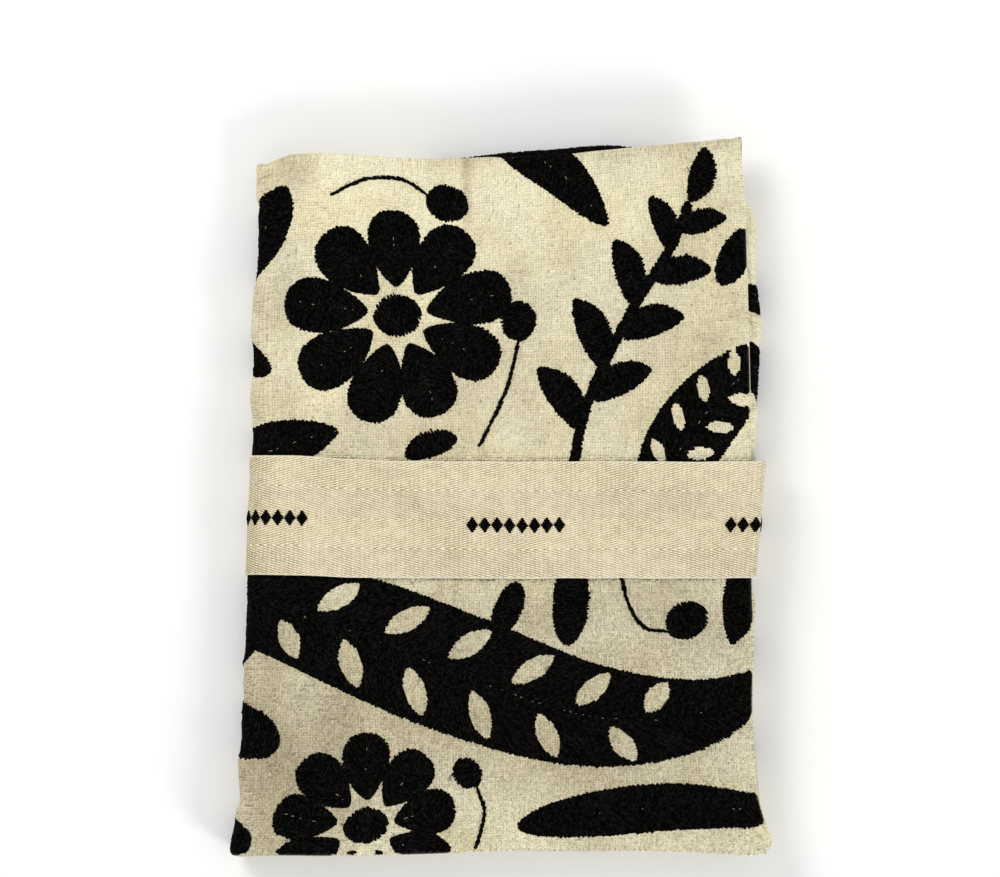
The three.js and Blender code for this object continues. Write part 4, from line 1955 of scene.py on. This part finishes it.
class Socket:
    """A shader value that takes part in Python arithmetic, one Math node for each operation."""

    def __init__(self, graph: "Graph", source: bpy.types.NodeSocket) -> None:
        """Wraps a node's output."""
        self.graph = graph
        self.source = source

    def __add__(self, other: "Socket | float") -> "Socket":
        """This value plus the other."""
        return self.graph.math("ADD", self, other)

    __radd__ = __add__

    def __sub__(self, other: "Socket | float") -> "Socket":
        """This value less the other."""
        return self.graph.math("SUBTRACT", self, other)

    def __rsub__(self, other: float) -> "Socket":
        """The other less this value."""
        return self.graph.math("SUBTRACT", other, self)

    def __mul__(self, other: "Socket | float") -> "Socket":
        """This value times the other."""
        return self.graph.math("MULTIPLY", self, other)

    __rmul__ = __mul__

    def __truediv__(self, other: "Socket | float") -> "Socket":
        """This value over the other."""
        return self.graph.math("DIVIDE", self, other)

    def held(self, low: float = 0.0, high: float = 1.0) -> "Socket":
        """This value held between two limits."""
        return self.graph.math("MINIMUM", self.graph.math("MAXIMUM", self, low), high)


class Graph:
    """A material under construction."""

    def __init__(self, name: str) -> None:
        """Starts a material with one surface shader.

        Args:
            name: the material's name.
        """
        self.material = bpy.data.materials.new(name)
        self.material.use_nodes = True
        self.tree = self.material.node_tree
        self.tree.nodes.clear()
        self.shader = self.node("ShaderNodeBsdfPrincipled")
        output = self.node("ShaderNodeOutputMaterial")
        self.tree.links.new(self.shader.outputs["BSDF"], output.inputs["Surface"])

    def node(
        self,
        kind: str,
        settings: dict[str, Any] | None = None,
        inputs: dict[str | int, Any] | None = None,
    ) -> bpy.types.Node:
        """Adds one node.

        Args:
            kind: the node's type.
            settings: its own settings, which are made first.
            inputs: values or links for its sockets, by name or number.

        Returns:
            The node.
        """
        made = self.tree.nodes.new(kind)
        for key, value in (settings or {}).items():
            setattr(made, key, value)
        for key, value in (inputs or {}).items():
            if isinstance(value, Socket):
                self.tree.links.new(value.source, made.inputs[key])
            else:
                made.inputs[key].default_value = value
        return made

    def math(self, operation: str, *values: "Socket | float") -> Socket:
        """One Math node on values."""
        made = self.node("ShaderNodeMath", {"operation": operation}, dict(enumerate(values)))
        return Socket(self, made.outputs[0])

    def mix(self, factor: "Socket | float", a: "Socket | Colour", b: "Socket | Colour") -> Socket:
        """A colour part of the way from a to b."""
        made = self.node("ShaderNodeMix", {"data_type": "RGBA"}, {0: factor, 6: a, 7: b})
        return Socket(self, made.outputs[2])

    def map(self) -> tuple[Socket, Socket, Socket]:
        """The piece's own map.

        Returns:
            Its vector and its two numbers.
        """
        vector = Socket(self, self.node("ShaderNodeUVMap", {"uv_map": "cloth"}).outputs["UV"])
        parts = self.node("ShaderNodeSeparateXYZ", None, {"Vector": vector})
        return vector, Socket(self, parts.outputs["X"]), Socket(self, parts.outputs["Y"])

    def value(self, name: str) -> Socket:
        """One of the piece's attributes."""
        made = self.node("ShaderNodeAttribute", {"attribute_name": name, "attribute_type": "GEOMETRY"})
        return Socket(self, made.outputs["Fac"])

    def beside(self, vector: Socket, across: Socket, up: Socket) -> Socket:
        """A map's vector moved by two numbers.

        Args:
            vector: the map's vector.
            across: how far to move it one way.
            up: and the other.

        Returns:
            The moved vector.
        """
        step = self.node("ShaderNodeCombineXYZ", None, {"X": across, "Y": up})
        inputs = {0: vector, 1: Socket(self, step.outputs["Vector"])}
        made = self.node("ShaderNodeVectorMath", {"operation": "ADD"}, inputs)
        return Socket(self, made.outputs["Vector"])

    def noise(self, vector: Socket, stretch: Point, scale: float, detail: float) -> Socket:
        """Noise on a map, stretched along one of its directions.

        Args:
            vector: the map's vector.
            stretch: what multiplies its two numbers.
            scale: how many waves there are in 1 of the map.
            detail: how many finer noises lie on it.

        Returns:
            The noise, from 0 to 1.
        """
        scaled = self.node("ShaderNodeMapping", None, {"Vector": vector, "Scale": (*stretch, 1.0)})
        made = self.node(
            "ShaderNodeTexNoise",
            {"noise_dimensions": "2D"},
            {"Vector": Socket(self, scaled.outputs["Vector"]), "Scale": scale, "Detail": detail},
        )
        return Socket(self, made.outputs["Fac"])

    def bump(self, height: Socket, strength: float, distance: float) -> None:
        """Bumps the surface by a height, distance metres for each 1 of it.

        Args:
            height: the height.
            strength: how much of the bump shows.
            distance: metres for 1.
        """
        inputs = {"Strength": strength, "Distance": distance, "Height": height}
        made = self.node("ShaderNodeBump", None, inputs)
        self.tree.links.new(made.outputs["Normal"], self.shader.inputs["Normal"])

    def finish(self, colour: "Socket | Colour", roughness: float, **constants: float) -> bpy.types.Material:
        """Sets the shader's colour and its plain numbers.

        Args:
            colour: the colour, fixed or varying.
            roughness: the same all over.
            constants: other sockets, with an underscore for each space in the name.

        Returns:
            The material.
        """
        if isinstance(colour, Socket):
            self.tree.links.new(colour.source, self.shader.inputs["Base Color"])
        else:
            self.shader.inputs["Base Color"].default_value = colour
        self.shader.inputs["Roughness"].default_value = roughness
        for name, number in constants.items():
            self.shader.inputs[name.replace("_", " ")].default_value = number
        return self.material


@dataclass(frozen=True)
class CottonFinish:
    """Unbleached plain-weave cotton, with slubs, pebbles, fine creases and clouds of a warmer tone."""

    name: str = "embroidered_cotton"
    light: Colour = (0.840, 0.790, 0.580, 1.0)
    warm: Colour = (0.845, 0.780, 0.510, 1.0)
    dark: Colour = (0.410, 0.342, 0.222, 1.0)
    yarn: Colour = (0.002, 0.002, 0.002, 1.0)
    thread: float = 0.95
    side: float = 500.0
    calm: float = 0.25
    stitched: bool = True

    def material(self) -> bpy.types.Material:
        """Weave: threads stand up in both directions as the sum of two sines, with pinholes between.

        Small pebbles lie over it, deeper where the map's second number is below calm, which is below
        the band. Clean cloth goes from light to warm in clouds, and from there to dark by the shade value:
        darker slubs, creases, pebbles and flecks, painted shade in the pinholes, and the painted light and
        shade of the tone attribute.

        Returns:
            The material.
        """
        graph = Graph(self.name)
        vector, u, v = graph.map()

        def noise(length: float, detail: float, stretch: Point = (1.0, 1.0)) -> Socket:
            """Noise whose waves are that many millimetres long."""
            return graph.noise(vector, stretch, self.side / length, detail)

        turns = 2.0 * math.pi * self.side / self.thread
        wander = 5.0 * (noise(24.0, 2.0) - 0.5)
        warp = graph.math("SINE", u * turns + wander)
        weft = graph.math("SINE", v * turns + wander)
        weave = 0.5 * (warp + weft)
        pinhole = graph.math("POWER", 0.25 * (1.0 - warp) * (1.0 - weft), 2.0)
        slub = noise(0.9, 1.0, (1.0, 0.16)) + noise(0.9, 1.0, (0.16, 1.0)) - 1.0
        cloud = noise(30.0, 3.0) - 0.5
        crease = noise(3.6, 3.0) - 0.5
        pebble = noise(1.15, 1.0, (1.0, 0.8)) - 0.5
        fleck = ((noise(1.5, 0.0) - 0.80) * 16.0).held()
        clear = 0.2 + 1.3 * noise(14.0, 2.0)
        below = ((self.calm - v) * 12.0).held()
        pebble = (0.80 + 1.1 * below) * pebble
        # Painted light and shade of the weave: lighter on the threads' crowns, darker in the pinholes
        # between them.
        shade = 0.18 + clear * (0.17 * pinhole - 0.11 * weave) + 0.20 * slub + 0.40 * cloud
        shade = shade + 0.38 * crease + 0.16 * pebble + 0.5 * fleck
        if self.stitched:
            # The tone attribute carries painted shade and light: the folds, the ridge, the slope down the
            # front and the crease.
            shade = shade + 0.60 * (graph.value("tone") - 0.5)
        clean = graph.mix((0.5 + 3.0 * cloud).held(), self.light, self.warm)
        colour = graph.mix(shade.held(), clean, self.dark)
        if self.stitched:
            cover = ((graph.value("ink") - 0.72) * 5.0).held()
            colour = graph.mix(cover, colour, self.yarn)
        height = 0.55 * weave - 0.3 * pinhole + 0.8 * slub + 6.5 * crease + 4.6 * pebble
        graph.bump(height, 1.0, 0.00024)
        return graph.finish(colour, 0.92, Specular_IOR_Level=0.2, Sheen_Weight=0.08, Sheen_Roughness=0.5)


@dataclass(frozen=True)
class YarnFinish:
    """Matt cotton yarn with a soft twist, fuzzy fibres and painted glints."""

    name: str = "embroidery_yarn"
    deep: Colour = (0.0004, 0.0004, 0.0003, 1.0)
    # The colour of paler stitches and of the glints painted along the yarn.
    pale: Colour = (0.0130, 0.0124, 0.0105, 1.0)
    twist: float = 7.0

    def material(self) -> bpy.types.Material:
        """Twist: a sine of the distance along the yarn plus the way round it.

        Returns:
            The material.
        """
        graph = Graph(self.name)
        vector, along, around = graph.map()
        ply = graph.math("SINE", along * self.twist + around * (2 * math.pi))
        tone = graph.value("tone")
        place = graph.beside(vector, 37.0 * tone, 11.0 * tone)
        fuzz_and_glints = graph.noise(place, (0.7, 1.6), 1.0, 2.0) - 0.5
        # Painted highlights: the noise lights short glints along the yarn towards the pale colour, and the
        # twist paints a little shade in its grooves.
        shade = 0.16 + 0.30 * (tone - 0.5) + 0.06 * ply + 2.2 * fuzz_and_glints
        graph.bump(ply + 2.0 * fuzz_and_glints, 0.6, 0.00008)
        colour = graph.mix(shade.held(), self.deep, self.pale)
        return graph.finish(colour, 0.72, Specular_IOR_Level=0.012)


@dataclass(frozen=True)
class TapeFinish:
    """Cotton tape in herringbone twill, with pale selvedges."""

    name: str = "woven_tape"
    light: Colour = (0.925, 0.828, 0.588, 1.0)
    dark: Colour = (0.330, 0.240, 0.120, 1.0)
    pale: Colour = (0.920, 0.860, 0.690, 1.0)
    warp: float = 0.204
    weft: float = 0.79
    strips: int = 4
    length: float = 420.0
    width: float = 41.4

    def material(self) -> bpy.types.Material:
        """Twill: each warp thread floats over two wefts in four, one weft further on than its neighbour.

        The distance across is folded back at each strip, so that the step turns round there. The float
        is raised where the phase, in wefts along plus folded threads across, is in the first half of four.

        Returns:
            The material.
        """
        graph = Graph(self.name)
        vector, u, share = graph.map()
        across = share * self.width
        folded = graph.math("PINGPONG", across, self.width / self.strips)
        wander, ripple, slub, cloud = (
            graph.noise(vector, (self.length / self.width, 1.0), scale, detail) - 0.5
            for scale, detail in ((9.0, 3.0), (45.0, 1.0), (70.0, 2.0), (3.5, 2.0))
        )
        phase = u * (self.length / self.weft) + folded / self.warp + 2.0 * wander + 0.9 * ripple
        rib = graph.math("SINE", phase * (math.pi / 2))
        thread = graph.math("SINE", across * (math.pi / self.warp))
        pick = graph.math("SINE", u * (math.pi * self.length / self.weft))
        edge = graph.math("ABSOLUTE", graph.math("FRACT", share) - 0.5)
        selvedge = ((edge - 0.484) * 120.0).held()
        # Painted shade between the twill's raised floats: the gap below darkens the colour where the rib is
        # low, more in some patches than in others.
        shade_amount = graph.noise(vector, (self.length / self.width, 1.0), 14.0, 2.0)
        gap = graph.math("POWER", (0.5 - 0.5 * rib).held(), 2.2) * (0.35 + 0.9 * shade_amount)
        shade = -0.10 + 1.15 * gap + 0.06 * thread + 0.10 * pick + 0.70 * slub + 0.40 * cloud
        # The tone attribute carries painted shade where the tape wraps round the left fold.
        shade = shade + 0.7 * (graph.value("tone") - 0.5)
        colour = graph.mix(shade.held(), self.light, self.dark)
        colour = graph.mix(0.75 * selvedge, colour, self.pale)
        graph.bump(0.72 * rib + 0.14 * thread + 0.16 * pick + 0.9 * slub, 1.0, 0.000237)
        return graph.finish(colour, 0.86, Specular_IOR_Level=0.25, Sheen_Weight=0.08, Sheen_Roughness=0.5)


@dataclass(frozen=True)
class ThreadFinish:
    """Cream sewing thread."""

    name: str = "sewing_thread"
    colour: Colour = (0.66, 0.60, 0.42, 1.0)
    groove: Colour = (0.42, 0.35, 0.22, 1.0)

    def material(self) -> bpy.types.Material:
        """Twist, as on the yarn.

        Returns:
            The material.
        """
        graph = Graph(self.name)
        _, along, around = graph.map()
        ply = graph.math("SINE", along * 12.0 + around * (2 * math.pi))
        # Painted shade: the groove colour darkens the twist's grooves.
        return graph.finish(graph.mix((0.4 + 0.3 * ply).held(), self.colour, self.groove), 0.7)


@dataclass(frozen=True)
class LintFinish(ThreadFinish):
    """The cloth where it shows between stitches, painted much darker as shade deep between the yarn."""

    name: str = "bare_cloth_in_shade"
    # Painted shade: far darker than the open cloth, as it lies deep between stitches.
    colour: Colour = (0.34, 0.31, 0.24, 1.0)
    groove: Colour = (0.18, 0.16, 0.12, 1.0)


# The studio


@dataclass(frozen=True)
class Studio:
    """A pale floor, soft lights and a camera straight above."""

    pixel: float = 0.354
    frame_width: int = 1000
    frame_height: int = 877
    centre_px: Point = (502.0, 497.0)
    distance: float = 1.5
    plane_z: float = 0.018
    sensor: float = 36.0
    floor_reach: float = 3000.0

    def camera(self) -> None:
        """The photograph's view: straight down, with the packet where it lies in the frame."""
        data = bpy.data.cameras.new("camera")
        camera = bpy.data.objects.new("camera", data)
        bpy.context.scene.collection.objects.link(camera)
        across = self.pixel * self.frame_width * MM
        data.sensor_width = self.sensor
        data.lens = self.sensor * self.distance / across
        x = (self.frame_width / 2 - self.centre_px[0]) * self.pixel * MM
        y = (self.centre_px[1] - self.frame_height / 2) * self.pixel * MM
        camera.location = (x, y, self.plane_z + self.distance)
        bpy.context.scene.camera = camera

    def light(
        self,
        name: str,
        place: tuple[float, float, float],
        watts: float,
        size: float,
        colour: tuple[float, float, float],
    ) -> None:
        """Adds one soft square light that faces the packet.

        Args:
            name: the light's name.
            place: where it stands, in metres.
            watts: its power.
            size: length of its side.
            colour: its red, green and blue.
        """
        data = bpy.data.lights.new(name, "AREA")
        data.energy, data.size, data.color = watts, size, colour
        lamp = bpy.data.objects.new(name, data)
        lamp.location = place
        lamp.rotation_euler = Vector(place).to_track_quat("Z", "Y").to_euler()
        bpy.context.scene.collection.objects.link(lamp)

    def floor(self) -> None:
        """A wide plain floor of pale card."""
        corners = np.array([[-1, -1, 0], [1, -1, 0], [1, 1, 0], [-1, 1, 0]]) * self.floor_reach
        floor = build_mesh("floor", corners, [np.array([[0, 1, 2, 3]])])
        graph = Graph("floor_card")
        floor.data.materials.append(graph.finish((0.86, 0.86, 0.86, 1.0), 0.9, Specular_IOR_Level=0.1))

    def build(self) -> None:
        """Builds the floor, the world, the lights and the camera."""
        self.floor()
        world = bpy.data.worlds.new("studio")
        bpy.context.scene.world = world
        world.use_nodes = True
        world.node_tree.nodes["Background"].inputs["Color"].default_value = (1.0, 1.0, 1.0, 1.0)
        world.node_tree.nodes["Background"].inputs["Strength"].default_value = 0.70
        self.light("key", (1.45, -1.30, 0.95), 21.5, 0.60, (1.0, 1.0, 0.97))
        self.light("window", (-0.80, 0.85, 1.00), 12.0, 0.70, (1.0, 0.985, 0.95))
        bpy.context.scene.view_settings.view_transform = "Standard"
        self.camera()


def dress(piece: bpy.types.Object, material: bpy.types.Material, slot: str, *nodes: str) -> bpy.types.Object:
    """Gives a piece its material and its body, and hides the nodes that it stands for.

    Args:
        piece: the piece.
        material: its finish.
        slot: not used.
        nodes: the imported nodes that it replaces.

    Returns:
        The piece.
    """
    piece.data.materials.append(material)
    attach(piece, "root")
    if nodes:
        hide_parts(*nodes)
    return piece


def packed_shift(band: BandSize) -> Point:
    """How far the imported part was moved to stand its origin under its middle.

    Args:
        band: the band's sizes before the move.

    Returns:
        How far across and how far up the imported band's right side and foot lie from those sizes.
    """
    low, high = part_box("band")
    return high.x / MM - band.side_top, low.y / MM - band.foot


def main() -> None:
    """Builds the cover, its embroidery and its band, and the studio round them."""
    logging.basicConfig(level=logging.INFO, format="%(name)s: %(message)s")
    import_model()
    fold = Fold(shift=packed_shift(BandSize()))
    embroidery = Embroidery(fold)
    surface = Surface(fold, embroidery)
    cotton = CottonFinish().material()
    plain = CottonFinish(name="plain_cotton", stitched=False).material()
    yarn = YarnFinish().material()
    thread = ThreadFinish().material()

    front = dress(FrontPanel(surface).build(), cotton, "embroidered_cotton", "front_panel")
    back = dress(BackPanel(fold).build(), plain, "plain_cotton", "back_panel")

    stitches = embroidery.stitches
    middle = (stitches.start + stitches.end) / 2
    on_front = middle[:, 0] < (fold.size.left_start + fold.size.low_start) / 2
    high = middle[:, 1] > -fold.size.hem_y
    groups = {
        "stitches_front_upper": on_front & high,
        "stitches_front_lower": on_front & ~high,
        "stitches_under_upper": ~on_front & high,
        "stitches_under_lower": ~on_front & ~high,
    }
    pieces = [YarnPiece(name, stitches.picked(chosen), surface).build() for name, chosen in groups.items()]
    sewn = [dress(piece, yarn, "embroidery_yarn") for piece in pieces]
    lint = YarnPiece("bare_specks", embroidery.lint, surface).build()
    sewn.append(dress(lint, LintFinish().material(), "embroidered_cotton"))

    path = BandPath(fold)
    log.info("tape length %.1f mm", path.length)
    tape = TapeBand(path)
    tape_piece = tape.build()
    dress(tape_piece, TapeFinish(length=path.length).material(), "woven_tape", "band")
    stitching = BandStitching(tape)
    trim = dress(stitching.build("tape_lozenges", stitching.lozenges()), yarn, "embroidery_yarn")
    seam = dress(stitching.build("tape_seam", stitching.seam()), thread, "woven_tape")

    tape_flat = (path.length * MM, fold.band.width * MM)

    Studio().build()


if __name__ == "__main__":
    main()
